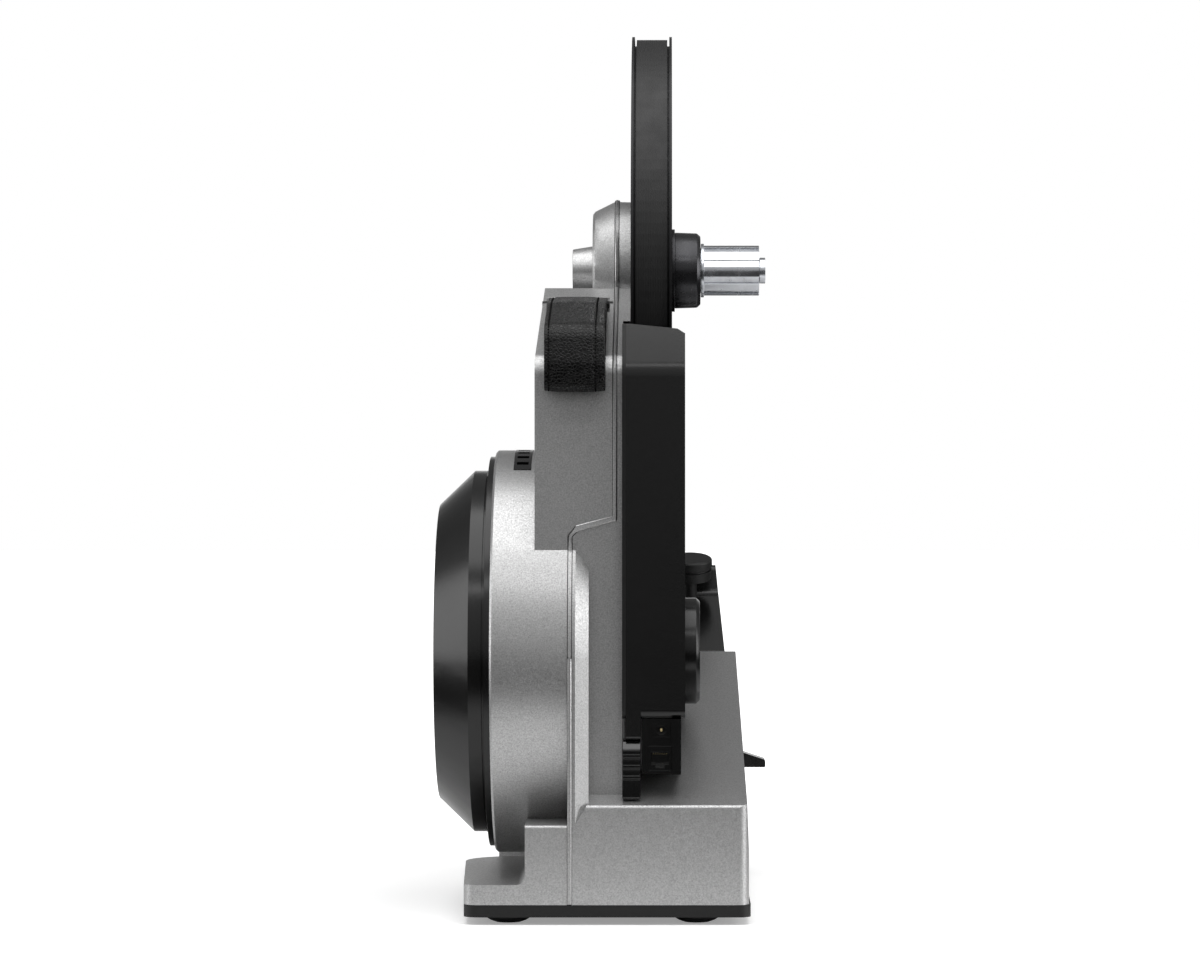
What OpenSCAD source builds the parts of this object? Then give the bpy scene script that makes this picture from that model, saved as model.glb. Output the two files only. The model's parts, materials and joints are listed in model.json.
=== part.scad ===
// Direct drive bike trainer, folded for storage. A chain turns the freehub, and a belt carries
// the drive down to the flywheel. X runs from the flywheel side to the drive side, Y towards the
// end that holds the two folded legs, and Z up. "Front" is the end that faces -Y.
// An outline is a list of [along, up, corner radius]. Along Y it is measured from the hub axle,
// and up from the floor.

/* [Axles] */
// Height of the hub axle above the floor
axle_h = 438.5; // [434:0.5:442]
// Place of the hub axle along the trainer
axle_y = -20.5; // [-25:0.5:-15]
// Hub axle from dropout face to dropout face
axle_len = 134.5; // [132:0.5:137]
// Hub axle diameter in the casing and the pulley
axle_d = 17; // [16:0.5:17.5]
// Hub axle diameter under the freehub
axle_tip_d = 15; // [14.5:0.1:15.5]
// Bore through the hub axle for a 12 mm thru axle
axle_bore_d = 12.1; // [11.5:0.1:12.4]
// Height of the flywheel shaft above the floor
fly_h = 174.5; // [173:0.5:176]
// Distance of the flywheel shaft ahead of the hub axle
fly_lead = 48; // [46:0.5:50]
// Flywheel shaft diameter
fly_shaft_d = 17; // [16:0.5:18]
// Running clearance of a shaft in its bore, on the radius
run_gap = 0.05; // [0.03:0.01:0.08]

/* [Belt drive] */
// Big pulley over its flanges
pulley_d = 325.4; // [322:0.2:327]
// Width of both pulleys
pulley_w = 27.5; // [26.5:0.5:28.5]
// Thickness of a pulley flange
flange_t = 1.8; // [1.4:0.1:2.2]
// Height of a flange above the back of the belt
flange_rise = 2.1; // [1.5:0.1:2.5]
// Belt thickness
belt_t = 4; // [3.5:0.1:4.5]
// Gap between the belt and what it runs on
belt_gap = 0.35; // [0.3:0.05:0.5]
// Small pulley at the bottom of its groove
small_pulley_d = 35; // [33:0.5:37]
// Idler roller diameter
idler_d = 24; // [22:0.5:25]
// Length of the idler's arm
idler_arm = 40; // [36:0.5:42]
// Place of the idler along the far run of the belt, from the big pulley down
idler_share = 0.65; // [0.6:0.01:0.7]
// Gap between the idler and the wall of the belt cover
idler_gap = 4.3; // [4:0.1:6]
// Ball bearings of the hub: outside diameter
hub_bearing_d = 30; // [28:1:32]
// Ball bearings of the hub: width
hub_bearing_w = 7; // [6:0.5:8]
// Ball bearings of the flywheel shaft: outside diameter
shaft_bearing_d = 40; // [38:1:42]
// Ball bearings of the flywheel shaft: width
shaft_bearing_w = 12; // [11:0.5:13]

/* [Freehub] */
// Thin ring beside the big pulley
dust_ring_d = 57.6; // [56:0.2:59]
// Width of that ring
dust_ring_w = 2.1; // [1.8:0.1:2.6]
// Black collar that covers the ratchet
collar_d = 53; // [51:0.5:54]
// Length of the collar
collar_len = 17.9; // [17:0.1:19]
// Splined body over its splines
freehub_d = 34.9; // [34.5:0.1:35.3]
// Splined length
spline_len = 38.5; // [37:0.5:40]
// Depth of a spline groove
spline_depth = 1.3; // [1:0.1:1.5]
// Bearings of the freehub: outside diameter
freehub_bearing_d = 28; // [26:0.5:29]
// End cap diameter
end_cap_d = 18; // [17.5:0.5:20]
// End cap length
end_cap_len = 4; // [3.5:0.1:5]

/* [Tower] */
// Left face of the tower
tower_left = -46; // [-48:0.5:-44]
// Right face of the tower, which carries the belt cover
tower_right = 12; // [10:0.5:13]
// Front face of the tower, ahead of the hub axle
tower_front = 166; // [164:0.5:168]
// Rear face of the tower, behind the hub axle
tower_back = 112; // [108:0.5:114]
// Drop from the hub axle to the bend at the top of the front face
bend_drop = 66.5; // [62:0.5:70]
// Drop from the hub axle to the crest
crest_drop = 13.8; // [12:0.2:18]
// Crest ahead of the hub axle
crest_lead = 52; // [50:0.5:54]
// Draft of the tower's left face above the bend
crest_draft = 3.8; // [2:0.2:5]
// Wall of both castings
wall = 4; // [3:0.5:5]
// Seam between the castings, in the upper tower
seam_top_x = 5.4; // [4:0.2:7]
// Height at which the seam steps over to the drum
seam_step_h = 262; // [258:0.5:266]
// Width of the raised bead along the seam
bead_w = 3.3; // [3:0.1:4]
// Height of that bead
bead_t = 0.5; // [0.4:0.1:0.8]
// Hub casing where it meets the pulley
hub_case_d = 96; // [92:0.5:98]
// Hub casing at its left end
hub_case_tip_d = 81; // [78:0.5:84]
// Left end of the hub casing
hub_case_x = -9.9; // [-11:0.1:-9]
// Left end cap where it leaves the casing
boss_root_d = 34; // [32:0.5:36]
// Left end cap at the dropout face
boss_tip_d = 29.4; // [28:0.2:31]

/* [Flywheel housing] */
// Flywheel diameter
flywheel_d = 232; // [224:0.5:234]
// Gap between the flywheel and the drum around it
flywheel_gap = 17; // [15:0.5:18]
// Drum wall
drum_wall = 5; // [4:0.5:6]
// Width of the sloped strip beside the drum
chamfer_w = 8.8; // [8:0.1:10]
// Depth of that strip
chamfer_depth = 5.4; // [4.5:0.1:6]
// Left face of the drum
drum_left = -75.4; // [-77:0.2:-74]
// Width of the drum
drum_w = 51.3; // [50:0.1:52]
// Step from the drum down to the flange ring
flange_step = 4.3; // [3:0.1:5]
// Thickness of the flange ring
flange_ring_w = 4; // [3.5:0.1:4.5]
// Visible groove between flange ring and cover
cover_groove = 2; // [1.6:0.1:2.5]
// Step from the flange ring down to the flywheel cover
fly_cover_step = 9.7; // [9:0.1:10.5]
// Straight part of the flywheel cover
fly_cover_rim = 8.7; // [8:0.1:10]
// Radial height of the cover's sloped face
fly_bevel = 23; // [20:0.5:26]
// Outer face of the flywheel cover
fly_face_x = -114; // [-116:0.5:-112]
// Width of the vent in the top of the drum
vent_w = 11.9; // [11:0.1:13]
// Left edge of that vent from the drum's left face
vent_inset = 13.4; // [12:0.2:15]
// Width of the flywheel's rim
flywheel_w = 36; // [32:0.5:37]
// Radial thickness of the rim
rim_t = 20; // [16:0.5:22]

/* [Belt cover] */
// Width of the belt cover
cover_w = 41.6; // [41:0.2:43]
// Front face of the belt cover, ahead of the hub axle
cover_front = 178; // [177:0.5:180]
// Bottom of the belt cover
cover_low = 135; // [134.5:0.1:136]
// Drop from the hub axle to the top edge of the cover
cover_drop = 42.5; // [40:0.5:45]
// Wall of the belt cover
cover_wall = 3; // [2.5:0.1:3.2]
// Gap between the big pulley and the cover
pulley_gap = 2.8; // [2.4:0.1:3]
// Thickness of the cover's back plate
backplate_t = 2.5; // [2:0.1:3]
// Round cap over the small pulley
cap_d = 73; // [70:0.5:76]
// Thickness of that cap
cap_t = 10.5; // [9.5:0.1:11.5]

/* [Base] */
// Rubber feet under the base
foot_h = 5.2; // [4.5:0.1:6]
// Diameter of a rubber foot
foot_d = 30; // [28:0.5:32]
// Base plate thickness
plate_t = 8.1; // [7.5:0.1:9]
// Front face of the base, ahead of the hub axle
base_front = 186; // [185:0.5:188]
// Right face of the base at the bottom
base_right = 96.8; // [95:0.2:98]
// Draft angle of the right face
base_draft = 2; // [1.5:0.1:2.5]
// Top of the base at the front
ramp_low = 78.5; // [77:0.5:80]
// Top of the base where it meets the leg carrier
ramp_high = 167; // [164:0.5:168]
// Rear end of the base, behind the hub axle
ramp_back = 115; // [113:0.5:117]
// Left face of the block under the drum
block_left = -51.8; // [-53:0.2:-50]
// Top of that block
block_top = 65.9; // [63:0.5:68]
// Left edge of the low foot, at the front
low_foot_left = -92; // [-94:0.5:-90]
// Top of the low foot
low_foot_top = 26.5; // [25:0.5:28]
// Rear end of the low foot, behind the hub axle
low_foot_back = 24; // [20:1:28]
// Circuit board in the base: length along Y
board_len = 92; // [86:1:96]
// Circuit board in the base: width
board_w = 74; // [70:1:76]

/* [Legs] */
// Middle plane between the two legs
leg_mid = 5.6; // [4:0.2:7]
// Each hinge pin from the middle plane
hinge_offset = 22; // [22:0.2:24]
// Height of the hinge pins
hinge_h = 88; // [84:0.5:92]
// Hinge pin diameter
hinge_pin_d = 14; // [12:0.5:15]
// Leg from its hinge pin to its tip
leg_len = 312; // [300:1:320]
// Depth of a leg along Y
leg_depth = 32; // [28:0.5:34]
// Angle from folded to standing on the floor
fold_angle = 103; // [100:0.5:106]
// Middle of the rubber pad, from the leg's tip
pad_inset = 27; // [22:1:36]
// Length of the rubber pad
pad_len = 20; // [16:1:24]
// Rear end of the leg carrier, behind the hub axle
carrier_back = 200; // [198:0.5:202]
// Top of the leg carrier
carrier_top = 150; // [148:0.5:152]
// Left end of the leg carrier
carrier_left = -80.4; // [-82:0.2:-78]
// Wall of the leg carrier
carrier_wall = 5; // [4:0.5:6]
// Top of the black cover on the carrier
hump_top = 228; // [224:0.5:230]
// Width of that cover
hump_w = 156; // [150:1:160]
// Foot of its slope above the carrier
slope_rise = 17; // [15:0.5:19]
// Shelf at the top of its slope, above the foot
shelf_rise = 39; // [36:0.5:42]
// Distance between the two knobs
knob_span = 106; // [100:1:110]
// Knob diameter
knob_d = 32.6; // [30:0.2:35]
// Knob height
knob_h = 16; // [14:0.5:18]
// Lean of the knobs towards the front
knob_tilt = 15; // [12:0.5:17]
// Reach of the right lever's tip
lever_tip = 114; // [111:0.5:116]
// Length of a lever along Y
lever_w = 22; // [20:0.5:24]

/* [Strap] */
// Left edge of the strap
strap_left = -39.4; // [-40:0.2:-38]
// Width of the strap
strap_w = 41; // [38:0.5:42]
// Thickness of the strap
strap_t = 3; // [2.5:0.1:3.5]
// Diameter of the pin that holds it
strap_pin_d = 5; // [4:0.1:5.5]
// Reach of the strap loop from its pin to the front
strap_reach = 124.5; // [119:0.5:126]

/* [Hidden] */
$fn = 96;

// Clearance between two still pieces that fit into each other
seat = 0.03;
// Gap between pieces that move apart
free = 0.4;
// A cut runs past the surface by this much
over = 1;

SILVER = [0.66, 0.66, 0.65];
BLACK = [0.12, 0.12, 0.12];
SOOT = [0.2, 0.2, 0.2];
STEEL = [0.75, 0.75, 0.77];

// Heights
base_z = foot_h + plate_t;
bend_h = axle_h - bend_drop;
crest_h = axle_h - crest_drop;
cover_top = axle_h - cover_drop;

// Places along X, from the tower's right face outwards
cover_x = tower_right + cover_w;
pulley_x = tower_right + backplate_t + 3;
dust_x = pulley_x + pulley_w;
collar_x = dust_x + dust_ring_w;
seal_x = collar_x + collar_len + free;
seal_w = 2;
spline_x = seal_x + seal_w;
freehub_end = spline_x + spline_len;
end_cap_x = freehub_end + free;
axle_end = end_cap_x + end_cap_len;
axle_start = axle_end - axle_len;
hub_case_end = pulley_x - 0.7;
step_x = collar_x + collar_len - 1;
belt_x = pulley_x + flange_t + 1.4;
belt_end = pulley_x + pulley_w - flange_t - 1.4;

// Flywheel housing, from the flywheel outwards
drum_d = flywheel_d + 2 * (flywheel_gap + drum_wall);
flange_ring_d = drum_d - 2 * flange_step;
fly_cover_d = flange_ring_d - 2 * fly_cover_step;
fly_face_d = fly_cover_d - 2 * fly_bevel;

// Places along X on the flywheel side
drum_right = drum_left + drum_w;
flange_ring_x = drum_left - flange_ring_w;
fly_cover_x = flange_ring_x - cover_groove;
rib_right = drum_right + 5.3;
chamfer_right = rib_right + chamfer_w;
flywheel_right = drum_right - 26;
left_boss_end = drum_right - drum_wall + shaft_bearing_w;

// Belt run: both pulleys at the bottom of the groove, and the two straight runs
big_r = pulley_d / 2 - flange_rise - belt_t - belt_gap;
small_r = small_pulley_d / 2;
centres = [-fly_lead, fly_h - axle_h];
run_lean = acos((big_r - small_r) / norm(centres));
run_dir = atan2(centres[1], centres[0]);

function unit(v) = v / norm(v);
function turned(v) = [-v[1], v[0]];
function flat(p) = [p[0], p[1]];
function polar(r, a) = r * [cos(a), sin(a)];
function at(list, i) = list[(i + len(list)) % len(list)];

// Points of one corner b of an outline, rounded to the radius that it carries
function corner(a, b, c, steps) =
    b[2] <= 0 ? [flat(b)] :
    let (
        u = unit(flat(a) - flat(b)),
        v = unit(flat(c) - flat(b)),
        half = acos(u * v) / 2,
        centre = flat(b) + unit(u + v) * b[2] / sin(half),
        from = flat(b) + u * b[2] / tan(half) - centre,
        to = flat(b) + v * b[2] / tan(half) - centre,
        start = atan2(from[1], from[0]),
        sweep = (atan2(to[1], to[0]) - start + 540) % 360 - 180
    )
    [for (i = [0:steps]) centre + polar(b[2], start + sweep * i / steps)];

function rounded(outline, steps = 8) = [
    for (i = [0:len(outline) - 1])
        each corner(at(outline, i - 1), outline[i], at(outline, i + 1), steps)
];

// An anticlockwise outline moved inwards by d
function inset(outline, d) = [
    for (i = [0:len(outline) - 1])
        let (
            b = flat(outline[i]),
            before = unit(b - flat(at(outline, i - 1))),
            after = unit(flat(at(outline, i + 1)) - b),
            n1 = turned(before),
            n2 = turned(after),
            p = b + d * (n1 + n2) / (1 + n1 * n2),
            radius = outline[i][2] - d * sign(n1 * after)
        )
        [p[0], p[1], outline[i][2] > 0 ? max(radius, 0.2) : 0]
];

// Arc points about a centre, from angle a0 to angle a1
function arc(centre, r, a0, a1, steps = 24) = [
    for (i = [0:steps])
        let (p = centre + polar(r, a0 + (a1 - a0) * i / steps))
        [p[0], p[1], 0]
];

// Idler that presses on the back of the belt's far run
run_normal = polar(1, run_dir + run_lean);
run_top = [0, axle_h] + (big_r + belt_gap + belt_t) * run_normal;
run_end = [-fly_lead, fly_h] + (small_r + belt_gap + belt_t) * run_normal;
run_unit = unit(run_end - run_top);
idler_at = run_top + idler_share * (run_end - run_top) + (idler_d / 2 + belt_gap) * run_normal;
idler_pivot = idler_at + idler_arm * run_unit;
pivot_d = 8;

// Loop round both pulleys, grown by g from the groove
function belt_loop(g) = concat(
    arc([0, axle_h], big_r + g, run_dir + run_lean, run_dir + 360 - run_lean, 90),
    arc([-fly_lead, fly_h], small_r + g, run_dir - run_lean, run_dir + run_lean, 30)
);

tower_outline = [
    [-tower_front, base_z, 0],
    [tower_back, base_z, 0],
    [tower_back, fly_h + 30, 40],
    [tower_back - 32, crest_h - 88, 60],
    [32, crest_h - 32, 25],
    [-crest_lead, crest_h, 8],
    [-tower_front, bend_h, 15]
];

seam_outline = [
    [-tower_front, -over],
    [drum_right, -over],
    [drum_right, seam_step_h - 6],
    [drum_right + 5, seam_step_h],
    [seam_top_x, seam_step_h + 6],
    [seam_top_x, axle_h + tower_front],
    [-tower_front, axle_h + tower_front]
];

ramp_outline = [
    [-base_front, base_z, 0],
    [ramp_back, base_z, 0],
    [ramp_back, ramp_high, 0],
    [-base_front, ramp_low, 3]
];

// Belt cover: a straight front, and a rear wall that hugs the pulley and then the idler
cover_r = pulley_d / 2 + pulley_gap + cover_wall;
idler_way = idler_at - [0, axle_h];
idler_r = idler_d / 2 + idler_gap + cover_wall;
cover_wrap = -atan2(idler_way[1], idler_way[0]) - acos((cover_r - idler_r) / norm(idler_way));
cover_far = [cover_r * cos(cover_wrap), axle_h - cover_r * sin(cover_wrap)];
cover_heel = cover_far[0] - (cover_far[1] - cover_low) * tan(cover_wrap);
cover_outline = concat(
    [[-cover_front, cover_low, 6], [cover_heel, cover_low, 22]],
    arc([0, axle_h], cover_r, -cover_wrap, -asin(cover_drop / cover_r), 8),
    [[-sqrt(cover_r * cover_r - cover_drop * cover_drop) - 1, cover_top, 0],
     [-cover_front, bend_h - 6, 24]]
);

// Places of the cover's screws, along Y and Z
cover_posts = [
    [-tower_front + 9, cover_low + 13],
    [-tower_front + 9, seam_step_h - 4],
    [-fly_lead - 50, cover_low + 12],
    [cover_heel - 12, cover_low + 13],
    [-35, fly_h + 66]
];

low_foot_outline = [
    [low_foot_left, -base_front, 10],
    [block_left + over, -base_front, 0],
    [block_left + over, low_foot_back, 0],
    [low_foot_left - 8, low_foot_back, 35]
];

plate_outline = [
    [low_foot_left, -base_front, 10],
    [base_right, -base_front, 8],
    [base_right, carrier_back, 8],
    [carrier_left, carrier_back, 8],
    [carrier_left, ramp_back, 4],
    [block_left, ramp_back, 4],
    [block_left, low_foot_back, 4],
    [low_foot_left - 8, low_foot_back, 35]
];

// Strap loop in its hanging rest: round the pin, over the slope and down in front of the tower
slope = (crest_h - bend_h) / (tower_front - crest_lead);
strap_pin_y = -crest_lead - 24;
strap_pin_h = crest_h - slope * 24 - 2;
strap_eye = strap_pin_d / 2 + 0.3 + strap_t;
strap_tip = strap_pin_y - strap_reach;
strap_outline = [
    [strap_pin_y + strap_eye, strap_pin_h - strap_eye - 0.7, strap_eye - 0.8],
    [strap_pin_y + strap_eye, strap_pin_h + strap_eye + 0.7, strap_eye - 0.8],
    [-120, strap_pin_h + 1, 80],
    [strap_tip + 20, bend_h + 23, 22],
    [strap_tip, bend_h - 2, 16],
    [strap_tip + 6, bend_h - 23, 8],
    [-tower_front - 8, bend_h - 20, 8],
    [-tower_front - 5.5, bend_h + 3, 10],
    [-tower_front + 14, bend_h + 10.5, 20],
    [strap_pin_y - 22, strap_pin_h - 3, 20]
];

// Leg in its own frame: [outwards, along the leg, corner radius], hinge pin at the origin
leg_root = hinge_offset - 1;
leg_outline = [
    [-leg_root, -leg_root, leg_root - 1],
    [leg_root, -leg_root, leg_root - 1],
    [leg_root, 40, 60],
    [13, leg_len, 10],
    [-11, leg_len, 10],
    [-leg_root + 2, 40, 60]
];
leg_y = carrier_back + 3;
// Distance outwards at which the pad meets the floor once the leg is down
function pad_out(s) = (hinge_h + s * cos(fold_angle)) / sin(fold_angle);
function leg_side(s) = leg_root + (13 - leg_root) * (s - 40) / (leg_len - 40);

knob_y = carrier_back - 40;
knob_top = hump_top + 6;
knob_stem = 44;
slope_foot = carrier_top + slope_rise;
shelf_h = slope_foot + shelf_rise;

lever_h = 80;
lever_y = 154;
lever_pivot = 80;
lever_pivot_h = lever_h + 6;

// Screws of the floor pan, each under a boss of its own casting
boss_d = 12;
pan_foot = [[low_foot_left + 22, -base_front + 46]];
pan_left = [[block_left + wall + boss_d / 2 - 1, 60]];
pan_right = [
    [base_right - 15, -base_front + 46],
    [base_right - 15, 60],
    [40, -base_front + wall + boss_d / 2 - 1],
    [20, ramp_back - wall - boss_d / 2 + 1]
];
pan_carrier = [
    [carrier_left + carrier_wall + boss_d / 2 - 1, carrier_back - carrier_wall - boss_d / 2 - 1],
    [base_right - 15, carrier_back - carrier_wall - boss_d / 2 - 1]
];
carrier_bolts = [[-10, 40], [60, 40], [-10, 110], [60, 110]];

module place() { translate([0, axle_y, 0]) children(); }
module at_hub() { translate([0, 0, axle_h]) children(); }
module at_fly() { translate([0, -fly_lead, fly_h]) children(); }
module mirrored() { translate([leg_mid, 0, 0]) mirror([1, 0, 0]) translate([-leg_mid, 0, 0]) children(); }

// Extrusions of an outline in the Y-Z, X-Z and X-Y plane
module along_x(x0, x1) {
    translate([x0, 0, 0]) rotate([90, 0, 90]) linear_extrude(height = x1 - x0) children();
}
module along_y(y0, y1) {
    translate([0, y1, 0]) rotate([90, 0, 0]) linear_extrude(height = y1 - y0) children();
}
module along_z(z0, z1) {
    translate([0, 0, z0]) linear_extrude(height = z1 - z0) children();
}
module shape(outline) { polygon(rounded(outline)); }

// Round bars and rings along X, and along Y
module rod(x0, x1, d, d_end = 0) {
    translate([x0, 0, 0]) rotate([0, 90, 0])
        cylinder(h = x1 - x0, d1 = d, d2 = d_end > 0 ? d_end : d);
}
module ring(x0, x1, d, bore) {
    difference() {
        rod(x0, x1, d);
        rod(x0 - over, x1 + over, bore);
    }
}
module rod_y(y0, y1, d) {
    translate([0, y1, 0]) rotate([90, 0, 0]) cylinder(h = y1 - y0, d = d);
}

// Arc-shaped block about the X axis, between two angles measured from +Y
module sector(x0, x1, r0, r1, a0, a1) {
    along_x(x0, x1) polygon([
        for (p = arc([0, 0], r1, a0, a1, 12)) flat(p),
        for (p = arc([0, 0], r0, a1, a0, 12)) flat(p)
    ]);
}

// Socket head screw along +X with its seat at x = 0 and its head towards +X
module screw(d, len, grow = 0) {
    head_d = 1.75 * d;
    head_h = 0.6 * d;
    difference() {
        union() {
            rod(-len - (grow > 0 ? 0.5 : 0), 0.01, d + 2 * grow);
            rod(0, head_h + (grow > 0 ? 10 : 0), head_d + 4 * grow);
        }
        if (grow == 0)
            translate([head_h / 2, 0, 0]) rotate([0, 90, 0]) cylinder(h = head_h, d = d * 0.9, $fn = 6);
    }
}

module left_of_seam() { along_y(-tower_front - over, tower_back + over) polygon(seam_outline); }

module tower(x0, x1, d = 0) {
    along_x(x0, x1) shape(d > 0 ? inset(tower_outline, d) : tower_outline);
}

// Everything but the lower front quarter, where the drum stands ahead of the tower
module above_drum_front() {
    along_x(tower_left - over, tower_right + over) polygon([
        [-tower_front - over, fly_h],
        [-fly_lead, fly_h],
        [-fly_lead, 0],
        [tower_back + over, 0],
        [tower_back + over, axle_h],
        [-tower_front - over, axle_h]
    ]);
}

// Keeps the tower inside the draft of its left face
module tower_draft(d = 0) {
    along_y(-tower_front - over, tower_back + over) polygon([
        [tower_left + d, 0],
        [tower_right + over, 0],
        [tower_right + over, axle_h],
        [tower_left + crest_draft + d, axle_h],
        [tower_left + crest_draft + d, crest_h],
        [tower_left + d, bend_h]
    ]);
}

vent_x = drum_left + vent_inset;
vent_front = 115.6;
vent_back = 72;
module vent_sector(r0, r1, gap = 0) {
    at_fly() sector(vent_x - gap, vent_x + vent_w + gap, r0, r1, vent_back, vent_front);
}

pocket_y = strap_pin_y - 16;
module pocket_shape(d) {
    polygon([
        [pocket_y - d, strap_pin_h - strap_eye - 1.6 - d],
        [strap_pin_y + strap_eye + 1.6 + d, strap_pin_h - strap_eye - 1.6 - d],
        [strap_pin_y + strap_eye + 1.6 + d, axle_h],
        [pocket_y - d, axle_h]
    ]);
}
module strap_pocket() {
    along_x(strap_left - 1, strap_left + strap_w + 1) pocket_shape(0);
}

module left_base() {
    difference() {
        along_x(block_left, drum_right) shape([
            [-base_front, base_z, 0],
            [ramp_back, base_z, 0],
            [ramp_back, block_top, 3],
            [-base_front, block_top, 2.5]
        ]);
        along_x(block_left + wall, drum_right + over) polygon([
            [-base_front + wall, base_z - over],
            [ramp_back - wall, base_z - over],
            [ramp_back - wall, block_top - wall],
            [-base_front + wall, block_top - wall]
        ]);
    }
    along_z(base_z, low_foot_top) shape(low_foot_outline);
    along_y(-base_front, low_foot_back) polygon([
        [block_left + over, low_foot_top - over],
        for (p = arc([block_left - 6, low_foot_top + 6], 6, -90, 0, 6)) flat(p),
        [block_left + over, low_foot_top + 6]
    ]);
}

// Left casting: tower half, drum, the block and the low foot under the drum
module left_shell() {
    color(SILVER) place() difference() {
        union() {
            intersection() {
                difference() {
                    tower(tower_left, seam_top_x);
                    intersection() {
                        tower(tower_left, seam_top_x + over, wall);
                        tower_draft(wall);
                    }
                }
                left_of_seam();
                tower_draft();
                above_drum_front();
            }
            at_fly() rod(drum_left, drum_left + 1.5, drum_d - 3, drum_d);
            at_fly() rod(drum_left + 1.5, drum_right, drum_d);
            left_base();
            plate_bosses(pan_left);
            at_fly() rod(drum_right - drum_wall, left_boss_end, shaft_bearing_d + 14);
            at_hub() rod(hub_case_x, hub_case_x + 1.6, hub_case_tip_d - 2.6, hub_case_tip_d + 1.4);
            at_hub() rod(hub_case_x + 1.6, seam_top_x, hub_case_tip_d + 1.4, hub_case_d);
            intersection() {
                tower(tower_left + 1, seam_top_x);
                along_x(strap_left - 5, seam_top_x) pocket_shape(wall);
                tower_draft();
            }
        }
        at_fly() rod(drum_left - over, drum_left + 3, flywheel_d + 8);
        at_fly() rod(drum_left + 3, drum_right - drum_wall, drum_d - 2 * drum_wall);
        at_fly() rod(drum_right - drum_wall - over, drum_right + 20, shaft_bearing_d + 2 * seat);
        at_hub() rod(hub_case_x - over, seam_top_x + over, axle_d + 2 * seat);
        vent_sector(drum_d / 2 - drum_wall - over, drum_d / 2 + over, seat);
        strap_pocket();
        translate([0, strap_pin_y, strap_pin_h])
            rod(strap_left - 4, strap_left + strap_w + 3.3, strap_pin_d + 2 * seat);
        flywheel_cover_holes();
        plate_holes();
    }
}

module rib_outline(top, grow = 0) {
    r = drum_d / 2 + grow;
    rise = asin((top - fly_h) / r);
    polygon([
        [-tower_front + wall, base_z],
        [-tower_front + wall, top],
        for (p = arc([-fly_lead, fly_h], r, 180 - rise, 180, 24)) flat(p),
        [-fly_lead - r, base_z]
    ]);
}

// Raised bead beside the seam, round the tower, over the drum's band and round the hub casing
module seam_bead() {
    step = 0.6 * bead_w;
    intersection() {
        difference() {
            along_x(drum_right, tower_right) shape(inset(tower_outline, -bead_t));
            tower(drum_right - over, tower_right + over, wall / 2);
        }
        along_y(-tower_front - 2 * over, tower_back + 2 * over) polygon([
            [drum_right, fly_h],
            [drum_right + bead_w, fly_h],
            [drum_right + bead_w, seam_step_h - 6 - step / 2],
            [drum_right + 5 + step, seam_step_h - bead_w],
            [seam_top_x + bead_w, seam_step_h + 6 - step],
            [seam_top_x + bead_w, axle_h],
            [seam_top_x, axle_h],
            [seam_top_x, seam_step_h + 6],
            [drum_right + 5, seam_step_h],
            [drum_right, seam_step_h - 6]
        ]);
    }
    along_x(drum_right, drum_right + bead_w) rib_outline(fly_h + 72, bead_t);
    at_hub() rod(seam_top_x, seam_top_x + bead_w, hub_case_d + 2 * bead_t + 0.8);
}

// Sloped strip between the band beside the drum and the tower's front face
module chamfer_strip() {
    hull() {
        along_x(rib_right - 0.02, rib_right) rib_outline(fly_h + 72);
        along_x(chamfer_right - 0.02, chamfer_right) rib_outline(fly_h + 60, -chamfer_depth);
    }
}

// Closes the base under the foot of that strip
module chamfer_foot() {
    intersection() {
        union() {
            chamfer_strip();
            intersection() {
                right_base();
                along_y(-base_front - over, -tower_front) polygon([
                    [rib_right - over, block_top - wall],
                    [chamfer_right + over, block_top - wall],
                    [chamfer_right + over, ramp_low + 2],
                    [chamfer_right, ramp_low + 2],
                    [rib_right, block_top],
                    [rib_right - over, block_top]
                ]);
            }
        }
        along_x(rib_right - over, chamfer_right + over) polygon([
            [-base_front - over, block_top - wall],
            [-tower_front + wall, block_top - wall],
            [-tower_front + wall, ramp_low + 12],
            [-base_front - over, ramp_low + 12]
        ]);
    }
}

module right_base() {
    intersection() {
        along_x(drum_right, base_right + over) shape(ramp_outline);
        along_y(-base_front - over, ramp_back + over) polygon([
            [drum_right, 0],
            [base_right + base_z * tan(base_draft), 0],
            [base_right - (axle_h - base_z) * tan(base_draft), axle_h],
            [drum_right, axle_h]
        ]);
        along_z(0, axle_h) shape([
            [drum_right - over, -base_front, 0],
            [base_right - 1.2, -base_front, 8],
            [base_right + 1, ramp_back, 0],
            [drum_right - over, ramp_back, 0]
        ]);
    }
}

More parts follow.
